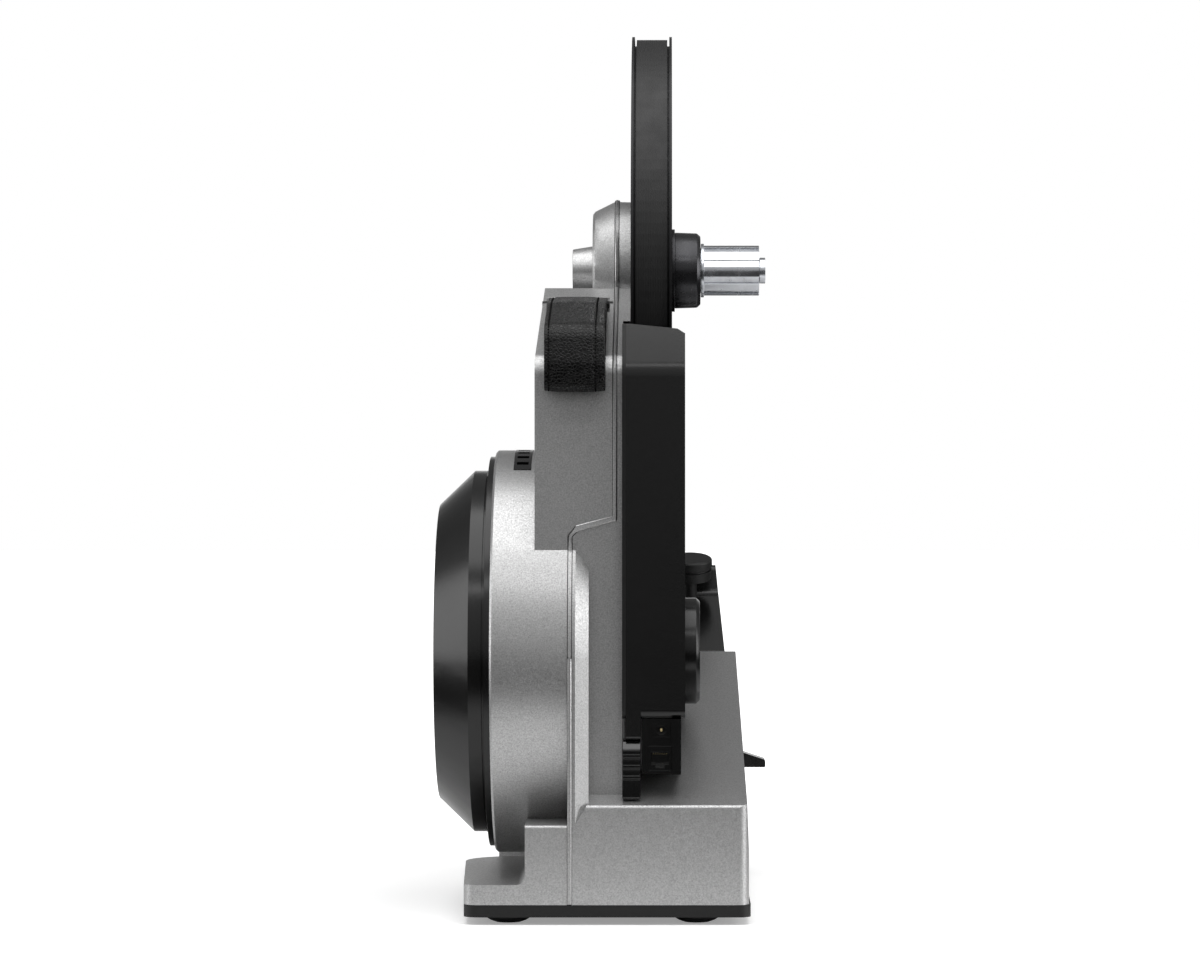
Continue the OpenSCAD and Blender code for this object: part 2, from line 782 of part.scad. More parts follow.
// Right casting: tower half, the band beside the drum, and the base box with its ramp
module right_shell() {
    color(SILVER) place() difference() {
        union() {
            difference() {
                union() {
                    difference() {
                        tower(drum_right, tower_right);
                        left_of_seam();
                    }
                    difference() {
                        right_base();
                        along_y(-base_front - over, -tower_front) polygon([
                            [rib_right, block_top],
                            [chamfer_right, ramp_low + 2],
                            [chamfer_right, ramp_high],
                            [rib_right, ramp_high]
                        ]);
                    }
                    along_x(drum_right, rib_right) rib_outline(fly_h + 72);
                    chamfer_strip();
                }
                tower(drum_right - over, tower_right - wall, wall);
                along_x(drum_right - over, base_right - 10) polygon([
                    [-base_front + wall, base_z - over],
                    [ramp_back - wall, base_z - over],
                    [ramp_back - wall, ramp_high - wall - 1.5],
                    [-base_front + wall, ramp_low - wall]
                ]);
            }
            at_hub() rod(seam_top_x, hub_case_end, hub_case_d, hub_case_d - 0.6);
            intersection() {
                tower(tower_right - wall, hub_case_end);
                along_x(tower_right - wall, hub_case_end) polygon([
                    [-tower_front, cover_top + 3.5],
                    [tower_back, cover_top + 3.5],
                    [tower_back, axle_h],
                    [-tower_front, axle_h]
                ]);
            }
            seam_bead();
            chamfer_foot();
            at_fly() rod(tower_right - shaft_bearing_w, tower_right, shaft_bearing_d + 14);
            plate_bosses(pan_right);
        }
        at_fly() rod(tower_right - shaft_bearing_w - 10, tower_right + over, shaft_bearing_d + 2 * seat);
        at_hub() rod(seam_top_x - over, hub_case_end + over, axle_d + 2 * seat);
        cover_holes();
        plate_holes();
        carrier_holes();
        translate([0, idler_pivot[0], idler_pivot[1]]) rod(0, cover_x, pivot_d + 2 * seat);
    }
}

// Dished black cover over the flywheel
module flywheel_cover() {
    rim_x = fly_cover_x - fly_cover_rim;
    skin = 3;
    color(BLACK) place() at_fly() difference() {
        union() {
            rod(rim_x, fly_cover_x, fly_cover_d);
            rod(fly_face_x, rim_x, fly_face_d, fly_cover_d);
        }
        rod(rim_x, fly_cover_x + over, fly_cover_d - 2 * skin);
        rod(fly_face_x + skin, rim_x + 0.01, fly_face_d - 2 * skin, fly_cover_d - 2 * skin);
        ring(fly_face_x - over, fly_face_x + 1, fly_face_d - 22, fly_face_d - 28);
        rod(fly_face_x - over, fly_face_x + 0.8, fly_face_d / 3);
    }
}

// Black ring that bolts to the drum and carries the flywheel cover on its neck
module cover_flange_ring() {
    color(SOOT) place() difference() {
        at_fly() union() {
            ring(flange_ring_x, drum_left, flange_ring_d, flywheel_d + 6);
            ring(fly_cover_x - 3, flange_ring_x + 0.01, fly_cover_d - 6 - 2 * seat, flywheel_d + 6);
        }
        flywheel_cover_holes();
    }
}

module each_flywheel_cover_screw() {
    at_fly() for (i = [0:5])
        rotate([30 + 60 * i, 0, 0])
            translate([flange_ring_x + 2.1, 0, (fly_cover_d + flange_ring_d) / 4 - 1.6])
                mirror([1, 0, 0]) children();
}
module flywheel_cover_holes() { each_flywheel_cover_screw() screw(3.5, 6, seat); }
module flywheel_cover_screws() {
    color(STEEL) place() each_flywheel_cover_screw() screw(3.5, 5);
}

// Louvred black insert in the top of the drum
module drum_vent() {
    color(BLACK) place() difference() {
        vent_sector(drum_d / 2 - drum_wall, drum_d / 2 + 0.4);
        at_fly() for (a = [vent_back + 5:5.5:vent_front - 5])
            sector(vent_x + 2, vent_x + vent_w - 2, drum_d / 2 - 2, drum_d / 2 + over, a, a + 2.2);
    }
}

// Black plate between the tower and the belt
module cover_backplate() {
    color(SOOT) place() difference() {
        along_x(tower_right, tower_right + backplate_t) shape(cover_outline);
        at_hub() rod(tower_right - over, pulley_x, hub_case_d + 2);
        at_fly() rod(tower_right - over, pulley_x, shaft_bearing_d - 4);
        cover_holes();
        translate([0, idler_pivot[0], idler_pivot[1]]) rod(0, cover_x, pivot_d + 2 * seat);
    }
}

module each_cover_screw() {
    for (p = cover_posts) translate([cover_x - 2.4, p[0], p[1]]) children();
}
module cover_holes() { each_cover_screw() screw(4, cover_w - 2.4 + wall + backplate_t, seat); }
module cover_screws() { color(STEEL) place() each_cover_screw() screw(4, cover_w - 2.4 + wall - 1); }

// Belt cover: right wall and rim, open at the top for the big pulley
module belt_cover() {
    inner_x = tower_right + backplate_t;
    color(BLACK) place() difference() {
        union() {
            difference() {
                intersection() {
                    along_x(inner_x, cover_x) shape(cover_outline);
                    along_y(-cover_front - over, cover_r + over) polygon([
                        [0, 0],
                        [cover_x, 0],
                        [cover_x, cover_top - 6.5],
                        [cover_x - 5, cover_top - 3.3],
                        [tower_right, cover_top + 0.5],
                        [0, cover_top + 0.5]
                    ]);
                }
                along_x(inner_x - over, cover_x - cover_wall) shape(inset(cover_outline, cover_wall));
                at_hub() rod(inner_x - over, cover_x - cover_wall, pulley_d + 2 * pulley_gap);
            }
            for (p = cover_posts)
                translate([0, p[0], p[1]]) rod(inner_x, cover_x - over, 10);
            along_x(inner_x, tower_right + 12.4) shape([
                [-cover_front, cover_low - 14, 3],
                [-cover_front + 26, cover_low - 14, 0],
                [-cover_front + 26, cover_low + 7, 0],
                [-cover_front, cover_low + 7, 0]
            ]);
        }
        cover_holes();
        at_fly() rod(cover_x - cover_wall - over, cover_x + over, 30);
    }
}

// Round cap over the end of the flywheel shaft
module pulley_cap() {
    color(BLACK) place() at_fly() difference() {
        union() {
            rod(cover_x, cover_x + cap_t - 2.5, cap_d);
            rod(cover_x + cap_t - 2.5, cover_x + cap_t, cap_d, cap_d - 5);
            rod(cover_x - cover_wall, cover_x + over, 30 - 2 * seat);
        }
        rod(cover_x - cover_wall - over, cover_x + cap_t - 3, 24);
        rod(cover_x + cap_t - 0.8, cover_x + cap_t + over, cap_d - 16);
    }
}

// Ports under the belt cover
port_x = tower_right + 13.1;
port_w = 25.8;
port_front = cover_front - 4;
port_low = cover_low - 36.5;
// The block ends where the ramp meets its underside
port_back = -base_front + (port_low - 0.5 - ramp_low) * (ramp_back + base_front) / (ramp_high - ramp_low);
jack = [port_x + 6.6, cover_low - 12, 12.4, 9.2, 14];
socket = [port_x + 4, port_low + 2.2, 15.8, 16.4, 16];
module port_cut(p, gap = seat) {
    translate([p[0] - gap, -port_front - over, p[1] - gap])
        cube([p[2] + 2 * gap, p[4] + over + gap, p[3] + 2 * gap]);
}
module port_block() {
    color(BLACK) place() difference() {
        union() {
            translate([port_x, -port_front, port_low])
                cube([port_w, port_front + port_back, cover_low - port_low]);
            translate([port_x + port_w - 6, -cover_front, port_low])
                cube([6, 5, cover_low - port_low]);
        }
        port_cut(jack);
        port_cut(socket);
    }
}
module dc_jack() {
    color(SOOT) place() {
        difference() {
            translate([jack[0], -port_front, jack[1]]) cube([jack[2], jack[4], jack[3]]);
            translate([jack[0] + jack[2] / 2, 0, jack[1] + jack[3] / 2])
                rod_y(-port_front - over, -port_front + 10, 6.3);
        }
        translate([jack[0] + jack[2] / 2, 0, jack[1] + jack[3] / 2])
            rod_y(-port_front + 1, -port_front + 10.5, 2.1);
    }
}
module data_socket() {
    color(SOOT) place() difference() {
        translate([socket[0], -port_front, socket[1]]) cube([socket[2], socket[4], socket[3]]);
        translate([socket[0] + 2, -port_front - over, socket[1] + 4.2]) cube([11.8, 13, 8]);
        translate([socket[0] + 5, -port_front - over, socket[1] + 2]) cube([5.8, 9, 4]);
    }
}

// Ridged holder for the supply lead, beside the ports
module cable_clip() {
    clip_x = tower_right + 0.3;
    low = ramp_at(-cover_front - 2) + 1;
    color(BLACK) place() difference() {
        along_x(clip_x, clip_x + 11.8) shape([
            [-cover_front - 2, low, 2],
            [-cover_front + 28, low + 8.5, 0],
            [-cover_front + 28, cover_low - 14.2, 0],
            [-cover_front + 3, cover_low - 14.2, 3],
            [-cover_front - 2, cover_low - 20, 3]
        ]);
        for (h = [low + 14, low + 21, low + 28])
            translate([clip_x - over, -cover_front - 3, h]) cube([20, 3.4, 2.4]);
    }
}
function ramp_at(y) = ramp_low + (ramp_high - ramp_low) * (y + base_front) / (ramp_back + base_front);

// Floor pan under the whole base
module base_plate() {
    color(SOOT) place() difference() {
        union() {
            along_z(foot_h, base_z) shape(plate_outline);
            for (p = board_posts)
                translate([p[0], p[1], base_z - over]) cylinder(h = board_rise + over, d = 6);
        }
        plate_holes();
        for (p = feet) translate([p[0], p[1], foot_h - over]) cylinder(h = 3 + over, d = 8 + 2 * seat);
    }
}

feet = [
    [-63.4, -base_front + 26], [61.3, -base_front + 26],
    [-56, carrier_back - 28], [70, carrier_back - 28]
];
module base_feet() {
    color(BLACK) place() for (p = feet) translate([p[0], p[1], 0]) {
        cylinder(h = 0.25 * foot_h, d1 = 0.55 * foot_d, d2 = 0.8 * foot_d);
        translate([0, 0, 0.25 * foot_h]) cylinder(h = 0.35 * foot_h, d1 = 0.8 * foot_d, d2 = foot_d);
        translate([0, 0, 0.6 * foot_h]) cylinder(h = 0.4 * foot_h, d = foot_d);
        translate([0, 0, foot_h - 0.01]) cylinder(h = 3, d = 8);
    }
}

module plate_bosses(points) {
    for (p = points) translate([p[0], p[1], base_z]) cylinder(h = 12, d = boss_d);
}
module each_plate_screw() {
    for (p = concat(pan_foot, pan_left, pan_right, pan_carrier))
        translate([p[0], p[1], foot_h + 2.4]) rotate([0, 90, 0]) children();
}
module plate_holes() { each_plate_screw() screw(4, plate_t + 8, seat); }
module base_plate_screws() { color(STEEL) place() each_plate_screw() screw(4, plate_t + 4); }

// Circuit board in the base box
board_rise = 6;
board_at = [tower_right, -66];
board_posts = [for (u = [0.08, 0.92], v = [0.065, 0.935]) board_at + [u * board_w, v * board_len]];
module on_board(u, v) {
    translate([board_at[0] + u * board_w, board_at[1] + v * board_len, base_z + board_rise + 1.5]) children();
}
module control_board() {
    color([0.1, 0.3, 0.18]) place() union() {
        translate([board_at[0], board_at[1], base_z + board_rise]) cube([board_w, board_len, 1.6]);
        on_board(0.11, 0.17) cube([0.3 * board_w, 0.33 * board_len, 12]);
        on_board(0.57, 0.15) cube([0.24 * board_w, 0.2 * board_len, 3]);
        on_board(0.65, 0.54) cube([0.22 * board_w, 0.26 * board_len, 9]);
        for (u = [0.16, 0.35, 0.54])
            on_board(u, 0.83) cylinder(h = 16, d = 10);
    }
}

// Casting behind the tower that carries both legs
module leg_carrier() {
    far_wall = carrier_back - carrier_wall;
    color(SILVER) place() difference() {
        union() {
            difference() {
                intersection() {
                    along_z(base_z, carrier_top) shape([
                        [carrier_left, ramp_back, 0],
                        [base_right, ramp_back, 0],
                        [base_right, carrier_back, 8],
                        [carrier_left, carrier_back, 8]
                    ]);
                    along_y(ramp_back - over, carrier_back + over) polygon([
                        [carrier_left - 2, 0],
                        [base_right + base_z * tan(base_draft), 0],
                        [base_right - (carrier_top - base_z) * tan(base_draft), carrier_top],
                        [carrier_left, carrier_top]
                    ]);
                }
                translate([carrier_left + carrier_wall, ramp_back + carrier_wall, base_z - over])
                    cube([
                        base_right - carrier_left - 2 * carrier_wall - 5,
                        far_wall - ramp_back - carrier_wall,
                        carrier_top - carrier_wall - base_z + over
                    ]);
            }
            for (side = [-1, 1])
                translate([leg_mid + side * hinge_offset, 0, hinge_h])
                    rod_y(carrier_back - 22, carrier_back - over, hinge_pin_d + 14);
            lever_ears();
            mirrored() lever_ears();
            plate_bosses(pan_carrier);
        }
        for (side = [-1, 1])
            translate([leg_mid + side * hinge_offset, 0, hinge_h])
                rod_y(carrier_back - 18, carrier_back + over, hinge_pin_d + 2 * seat);
        lever_window();
        mirrored() lever_window();
        carrier_holes();
        plate_holes();
    }
}
module lever_ears() {
    for (y = [lever_y - 6, lever_y + lever_w + 1])
        difference() {
            translate([lever_pivot - 9, y, lever_h - 6])
                cube([base_right - lever_pivot + 1, 5, 24]);
            translate([lever_pivot, 0, lever_pivot_h]) rod_y(y - over, y + 6, 5 + 2 * seat);
        }
}
module lever_window() {
    translate([lever_pivot + 4, lever_y - 0.8, lever_h - 6]) cube([40, lever_w + 1.6, 22]);
}
module lever_pins() {
    color(STEEL) place() {
        translate([lever_pivot, 0, lever_pivot_h]) rod_y(lever_y - 6, lever_y + lever_w + 6, 5);
        mirrored() translate([lever_pivot, 0, lever_pivot_h]) rod_y(lever_y - 6, lever_y + lever_w + 6, 5);
    }
}

module each_carrier_screw() {
    for (p = carrier_bolts)
        translate([p[0], ramp_back + carrier_wall, p[1]]) rotate([0, 0, 90]) children();
}
module carrier_holes() { each_carrier_screw() screw(5, 14, seat); }
module carrier_screws() { color(STEEL) place() each_carrier_screw() screw(5, carrier_wall + wall); }

// Black cover on the carrier, with a sloped face that holds the knobs
module carrier_cover() {
    skin = 3;
    hump = [
        [ramp_back, carrier_top, 0],
        [carrier_back, carrier_top, 0],
        [carrier_back, hump_top, 10],
        [carrier_back - 16, hump_top, 5],
        [carrier_back - 20, shelf_h, 6],
        [carrier_back - 28, shelf_h, 6],
        [ramp_back, slope_foot, 2]
    ];
    color(BLACK) place() difference() {
        union() {
            difference() {
                intersection() {
                    along_x(carrier_left, base_right) shape(hump);
                    hump_sides(0);
                }
                intersection() {
                    along_x(carrier_left, base_right) shape(inset(hump, skin));
                    hump_sides(skin);
                }
                translate([carrier_left + 12, ramp_back + 6, carrier_top - over])
                    cube([base_right - carrier_left - 30, carrier_back - ramp_back - 12, skin + 2]);
            }
            intersection() {
                along_x(carrier_left, base_right) shape(hump);
                for (side = [-1, 1])
                    knob_at(side) translate([0, 0, -knob_stem - 3]) cylinder(h = knob_stem, d = 20);
            }
        }
        for (side = [-1, 1])
            knob_at(side) translate([0, 0, -knob_stem - 0.4]) cylinder(h = knob_stem, d = 10 + 2 * run_gap);
    }
}
module hump_sides(d) {
    half = hump_w / 2 - d;
    along_y(ramp_back - over, carrier_back + over) polygon([
        [leg_mid - half, carrier_top - over],
        [leg_mid + half, carrier_top - over],
        [leg_mid + half, slope_foot],
        [leg_mid + half - 6, hump_top + over],
        [leg_mid - half + 6, hump_top + over],
        [leg_mid - half, slope_foot]
    ]);
}

module knob_at(side) {
    translate([leg_mid + side * knob_span / 2, knob_y, knob_top]) rotate([knob_tilt, 0, 0]) children();
}
// Clamp knob: two discs with a groove between them, on a stem
module knob(side) {
    color(BLACK) place() knob_at(side) union() {
        translate([0, 0, -1.2]) cylinder(h = 1.2, d1 = knob_d, d2 = knob_d - 2.4);
        translate([0, 0, -0.42 * knob_h]) cylinder(h = 0.42 * knob_h - 1.2, d = knob_d);
        translate([0, 0, -0.55 * knob_h]) cylinder(h = 0.14 * knob_h, d = knob_d - 4);
        translate([0, 0, -knob_h]) cylinder(h = 0.46 * knob_h, d1 = knob_d - 2, d2 = knob_d);
        translate([0, 0, -knob_stem]) cylinder(h = knob_stem - knob_h + 1, d = 10);
    }
}
module right_knob() { knob(1); }
module left_knob() { knob(-1); }

// Release lever: a tab that slants down to its tip, on a pin inside the carrier
module lever() {
    difference() {
        along_y(lever_y, lever_y + lever_w) shape([
            [lever_pivot - 6, lever_h, 3],
            [lever_tip, lever_h, 0.8],
            [lever_tip, lever_h + 5.5, 2],
            [lever_pivot + 14, lever_h + 12, 3],
            [lever_pivot - 6, lever_h + 12, 3]
        ]);
        translate([lever_pivot, 0, lever_pivot_h])
            rod_y(lever_y - over, lever_y + lever_w + over, 5 + 2 * run_gap);
    }
}
module right_lever() { color(BLACK) place() lever(); }
module left_lever() { color(BLACK) place() mirrored() lever(); }

module hinge_pins() {
    color(STEEL) place() for (side = [-1, 1])
        translate([leg_mid + side * hinge_offset, 0, hinge_h]) {
            rod_y(carrier_back - 18, leg_y + leg_depth + 1.5, hinge_pin_d);
            rod_y(leg_y + leg_depth + free, leg_y + leg_depth + 5, hinge_pin_d + 8);
        }
}

module at_hinge() { translate([leg_mid + hinge_offset, 0, hinge_h]) children(); }
bush_d = hinge_pin_d + 5;

// Folding leg, drawn for the right side
module leg() {
    at_hinge() difference() {
        along_y(leg_y, leg_y + leg_depth) shape(leg_outline);
        rod_y(leg_y - over, leg_y + leg_depth + over, bush_d + 2 * seat);
        along_y(leg_y + 8, leg_y + leg_depth + over) shape([
            [-leg_root + 7, 34, 4],
            [leg_root - 5, 34, 4],
            [8, leg_len - 8, 4],
            [-6, leg_len - 8, 4]
        ]);
    }
    at_hinge() intersection() {
        along_y(leg_y + 7, leg_y + leg_depth - 3) shape(leg_outline);
        for (s = [95, 160, 225])
            along_y(leg_y, leg_y + leg_depth) polygon([
                [-leg_root, s], [leg_root, s + 26], [leg_root, s + 31], [-leg_root, s + 5]
            ]);
    }
}
module leg_bush() {
    at_hinge() difference() {
        rod_y(leg_y, leg_y + leg_depth, bush_d);
        rod_y(leg_y - over, leg_y + leg_depth + over, hinge_pin_d + 2 * run_gap);
    }
}
module leg_pad() {
    s0 = leg_len - pad_inset - pad_len / 2;
    s1 = leg_len - pad_inset + pad_len / 2;
    at_hinge() along_y(leg_y + 1, leg_y + leg_depth - 1) polygon([
        [leg_side(s0) + seat, s0],
        [pad_out(s0), s0],
        [pad_out(s1), s1],
        [leg_side(s1) + seat, s1]
    ]);
}
module right_leg() { color(SILVER) place() leg(); }
module left_leg() { color(SILVER) place() mirrored() leg(); }
module right_leg_bush() { color([0.6, 0.45, 0.25]) place() leg_bush(); }
module left_leg_bush() { color([0.6, 0.45, 0.25]) place() mirrored() leg_bush(); }
module right_leg_pad() { color(BLACK) place() leg_pad(); }
module left_leg_pad() { color(BLACK) place() mirrored() leg_pad(); }

// Hollow hub axle
module hub_axle() {
    color(STEEL) place() at_hub() difference() {
        union() {
            rod(axle_start, step_x, axle_d);
            rod(step_x - 0.01, axle_end, axle_tip_d);
        }
        rod(axle_start - over, axle_end + over, axle_bore_d);
    }
}
module left_end_cap() {
    color(SILVER) place() at_hub() difference() {
        rod(axle_start, hub_case_x, boss_tip_d, boss_root_d);
        rod(axle_start - over, hub_case_x + over, axle_d + 2 * seat);
    }
}
module right_end_cap() {
    color(STEEL) place() at_hub() ring(end_cap_x, axle_end, end_cap_d, axle_tip_d + 2 * seat);
}

// Ball bearing drawn as two races with a groove on each face
module bearing(x, w, d, bore) {
    mid = (d + bore) / 2;
    difference() {
        ring(x, x + w, d, bore);
        ring(x - over, x + 0.6, mid + 4, mid - 4);
        ring(x + w - 0.6, x + w + over, mid + 4, mid - 4);
    }
}
module shaft_bearings() {
    color(STEEL) place() at_fly() {
        bearing(drum_right - drum_wall, shaft_bearing_w, shaft_bearing_d, fly_shaft_d + 2 * run_gap);
        bearing(tower_right - shaft_bearing_w, shaft_bearing_w, shaft_bearing_d, fly_shaft_d + 2 * run_gap);
    }
}
pulley_bearing_x = [pulley_x + 0.8, pulley_x + pulley_w - hub_bearing_w - 0.8];
module pulley_bearings() {
    color(STEEL) place() at_hub() for (x = pulley_bearing_x)
        bearing(x, hub_bearing_w, hub_bearing_d, axle_d + 2 * run_gap);
}
freehub_bearing_x = [spline_x + 1, freehub_end - hub_bearing_w - 1];
module freehub_bearings() {
    color(STEEL) place() at_hub() for (x = freehub_bearing_x)
        bearing(x, hub_bearing_w, freehub_bearing_d, axle_tip_d + 2 * run_gap);
}

// Big flanged pulley: a grooved rim, a web with round windows, ribs and a hub
module big_pulley() {
    end = pulley_x + pulley_w;
    rim_in = 2 * big_r - 16;
    hub_d = 52;
    web_x = pulley_x + 11;
    web_t = 5;
    color(SOOT) place() at_hub() difference() {
        union() {
            difference() {
                rod(pulley_x, end, pulley_d);
                ring(pulley_x + flange_t, end - flange_t, pulley_d + 2, 2 * big_r);
                ring(pulley_x - over, web_x, rim_in, hub_d);
                ring(web_x + web_t, end + over, rim_in, hub_d);
            }
            for (i = [0:5])
                rotate([60 * i, 0, 0])
                    translate([web_x + 1, -3, hub_d / 2 - 2])
                        cube([web_t + 6, 6, (rim_in - hub_d) / 2 + 4]);
        }
        rod(pulley_x - over, end + over, axle_d + 4);
        rod(pulley_x - over, pulley_bearing_x[0] + hub_bearing_w, hub_bearing_d + 2 * seat);
        rod(pulley_bearing_x[1], end + over, hub_bearing_d + 2 * seat);
        for (i = [0:5])
            rotate([30 + 60 * i, 0, 0])
                translate([0, 0, 98]) rod(web_x - over, web_x + web_t + over, 50);
    }
}
module dust_ring() {
    color(STEEL) place() at_hub() ring(dust_x, collar_x, dust_ring_d, axle_d + 6);
}
ratchet_seat = 44;
ratchet_neck = 31;
module drive_collar() {
    end = collar_x + collar_len;
    color(BLACK) place() at_hub() difference() {
        union() {
            rod(collar_x, end - 2.5, collar_d, collar_d - 1);
            rod(end - 2.5, end, collar_d - 1, collar_d - 5.5);
        }
        rod(collar_x - over, collar_x + 3.5, axle_d + 6);
        rod(collar_x + 3, end - 2, ratchet_seat + 2 * seat);
        rod(end - 3, end + over, freehub_d + 1.5);
    }
}
module ratchet_ring() {
    teeth = 24;
    color(STEEL) place() at_hub() difference() {
        rod(collar_x + 3, collar_x + collar_len - 2, ratchet_seat);
        along_x(collar_x, seal_x) polygon([
            for (i = [0:teeth - 1]) each [
                polar(18.2, 360 * i / teeth),
                polar(19.6, 360 * (i + 0.15) / teeth)
            ]
        ]);
    }
}
// Splined driver body that the cassette slides on
module freehub() {
    color(STEEL) place() at_hub() difference() {
        union() {
            rod(collar_x + 5, seal_x, ratchet_neck);
            rod(seal_x, spline_x, freehub_d + 2.6);
            along_x(spline_x - 0.01, freehub_end) difference() {
                circle(d = freehub_d);
                for (i = [0:8])
                    rotate(37.4 + 40 * i + 8)
                        translate([freehub_d / 2 - spline_depth, -2.4]) square([3, 4.8]);
            }
        }
        rod(freehub_bearing_x[0], freehub_bearing_x[0] + hub_bearing_w, freehub_bearing_d + 2 * seat);
        rod(freehub_bearing_x[1], freehub_end + over, freehub_bearing_d + 2 * seat);
        rod(collar_x, freehub_end + over, axle_d + 3);
    }
}
module pawls() {
    color(STEEL) place() at_hub() for (i = [0:2])
        rotate([120 * i, 0, 0]) sector(collar_x + 6, collar_x + 13, ratchet_neck / 2 + seat, 17.8, 0, 24);
}

// Flywheel: a heavy rim, a web that the brake coils face, and a hub
module flywheel() {
    left = flywheel_right - flywheel_w;
    color(STEEL) place() at_fly() difference() {
        union() {
            ring(left, flywheel_right, flywheel_d, flywheel_d - 2 * rim_t);
            rod(flywheel_right - 12, flywheel_right - 2, flywheel_d - 2 * rim_t + 1);
            rod(left + 6, flywheel_right - 1, 46);
        }
        rod(left - over, flywheel_right + over, fly_shaft_d + 2 * seat);
    }
}
module flywheel_shaft() {
    color(STEEL) place() at_fly()
        rod(flywheel_right - flywheel_w + 2, pulley_x + pulley_w + 2.5, fly_shaft_d);
}
module small_pulley() {
    end = pulley_x + pulley_w;
    edge = small_pulley_d + 2 * (belt_gap + belt_t + flange_rise);
    color(STEEL) place() at_fly() difference() {
        union() {
            rod(pulley_x, end, small_pulley_d);
            rod(pulley_x, pulley_x + flange_t, edge);
            rod(end - flange_t, end, edge);
        }
        rod(pulley_x - over, end + over, fly_shaft_d + 2 * seat);
    }
}

// Flat drive belt round both pulleys
module drive_belt() {
    color(BLACK) place() along_x(belt_x, belt_end) difference() {
        polygon([for (p = belt_loop(belt_gap + belt_t)) flat(p)]);
        polygon([for (p = belt_loop(belt_gap)) flat(p)]);
    }
}

// Sprung arm that holds the idler
arm_x = tower_right + backplate_t + 0.5;
arm_t = 3.5;
module tensioner_arm() {
    color(STEEL) place() difference() {
        union() {
            along_x(arm_x, arm_x + arm_t) polygon([
                for (p = arc(idler_pivot, 9, run_dir + run_lean - 180, run_dir + run_lean, 12)) flat(p),
                for (p = arc(idler_at, 7, run_dir + run_lean, run_dir + run_lean + 180, 12)) flat(p)
            ]);
            translate([0, idler_at[0], idler_at[1]]) rod(arm_x + over, belt_end, 8);
        }
        translate([0, idler_pivot[0], idler_pivot[1]]) rod(0, cover_x, pivot_d + 2 * run_gap);
    }
}
module tensioner_pin() {
    color(STEEL) place() translate([0, idler_pivot[0], idler_pivot[1]]) union() {
        rod(tower_right - wall, arm_x + arm_t + 0.5, pivot_d);
        rod(arm_x + arm_t + 0.3, arm_x + arm_t + 3, pivot_d + 5);
    }
}
module idler_roller() {
    color(STEEL) place() translate([0, idler_at[0], idler_at[1]])
        ring(belt_x - 0.5, belt_end + 0.5, idler_d, 8 + 2 * run_gap);
}

// Ring of brake coils on the drum's inner wall, facing the flywheel's web
module brake_stator() {
    plate_x = drum_right - drum_wall;
    inner = shaft_bearing_d + 30;
    outer = flywheel_d - 2 * rim_t - 16;
    coil_d = (outer - inner) / 2 - 23;
    color([0.6, 0.35, 0.2]) place() at_fly() union() {
        ring(plate_x - 3, plate_x, outer, inner);
        for (i = [0:7])
            rotate([45 * i, 0, 0]) translate([0, 0, (outer + inner) / 4])
                rod(flywheel_right + 1.5, plate_x - 2.5, coil_d);
    }
}
module speed_sensor() {
    plate_x = drum_right - drum_wall;
    color(BLACK) place() at_fly() rotate([-35, 0, 0])
        translate([flywheel_right + 2, -9, flywheel_d / 2 - 18])
            cube([plate_x - flywheel_right - 2, 18, 20]);
}

// Webbing loop that the trainer is carried by
module strap_handle() {
    color(BLACK) place() along_x(strap_left, strap_left + strap_w) difference() {
        shape(strap_outline);
        shape(inset(strap_outline, strap_t));
    }
}
module strap_pin() {
    color(STEEL) place() translate([0, strap_pin_y, strap_pin_h])
        rod(strap_left - 4, strap_left + strap_w + 3, strap_pin_d);
}

left_shell();
right_shell();
flywheel_cover();
cover_flange_ring();
drum_vent();
cover_backplate();
belt_cover();
pulley_cap();
port_block();
dc_jack();
data_socket();
cable_clip();
base_plate();
base_feet();
leg_carrier();
carrier_cover();
hinge_pins();
lever_pins();
hub_axle();
left_end_cap();
right_end_cap();
shaft_bearings();
brake_stator();
speed_sensor();
control_board();
tensioner_pin();
drive_belt();
strap_pin();
cover_screws();
flywheel_cover_screws();
base_plate_screws();
carrier_screws();
big_pulley();
pulley_bearings();
dust_ring();
drive_collar();
ratchet_ring();
freehub();
pawls();
freehub_bearings();
flywheel();
flywheel_shaft();
small_pulley();
tensioner_arm();
idler_roller();
right_leg();
right_leg_bush();
right_leg_pad();
left_leg();
left_leg_bush();
left_leg_pad();
right_lever();
left_lever();
right_knob();
left_knob();
strap_handle();
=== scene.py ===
"""Looks of a direct drive bike trainer, folded for storage and seen from its front end.

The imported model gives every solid. The classes below dress one sub-assembly each: they round its
edges, model the parts that need more than a solid, and give every surface its finish.
X runs to the drive side, Y to the folded legs and Z up, all in metres.
"""

import json
import logging
import math
from collections.abc import Callable
from dataclasses import dataclass, field
from enum import Enum

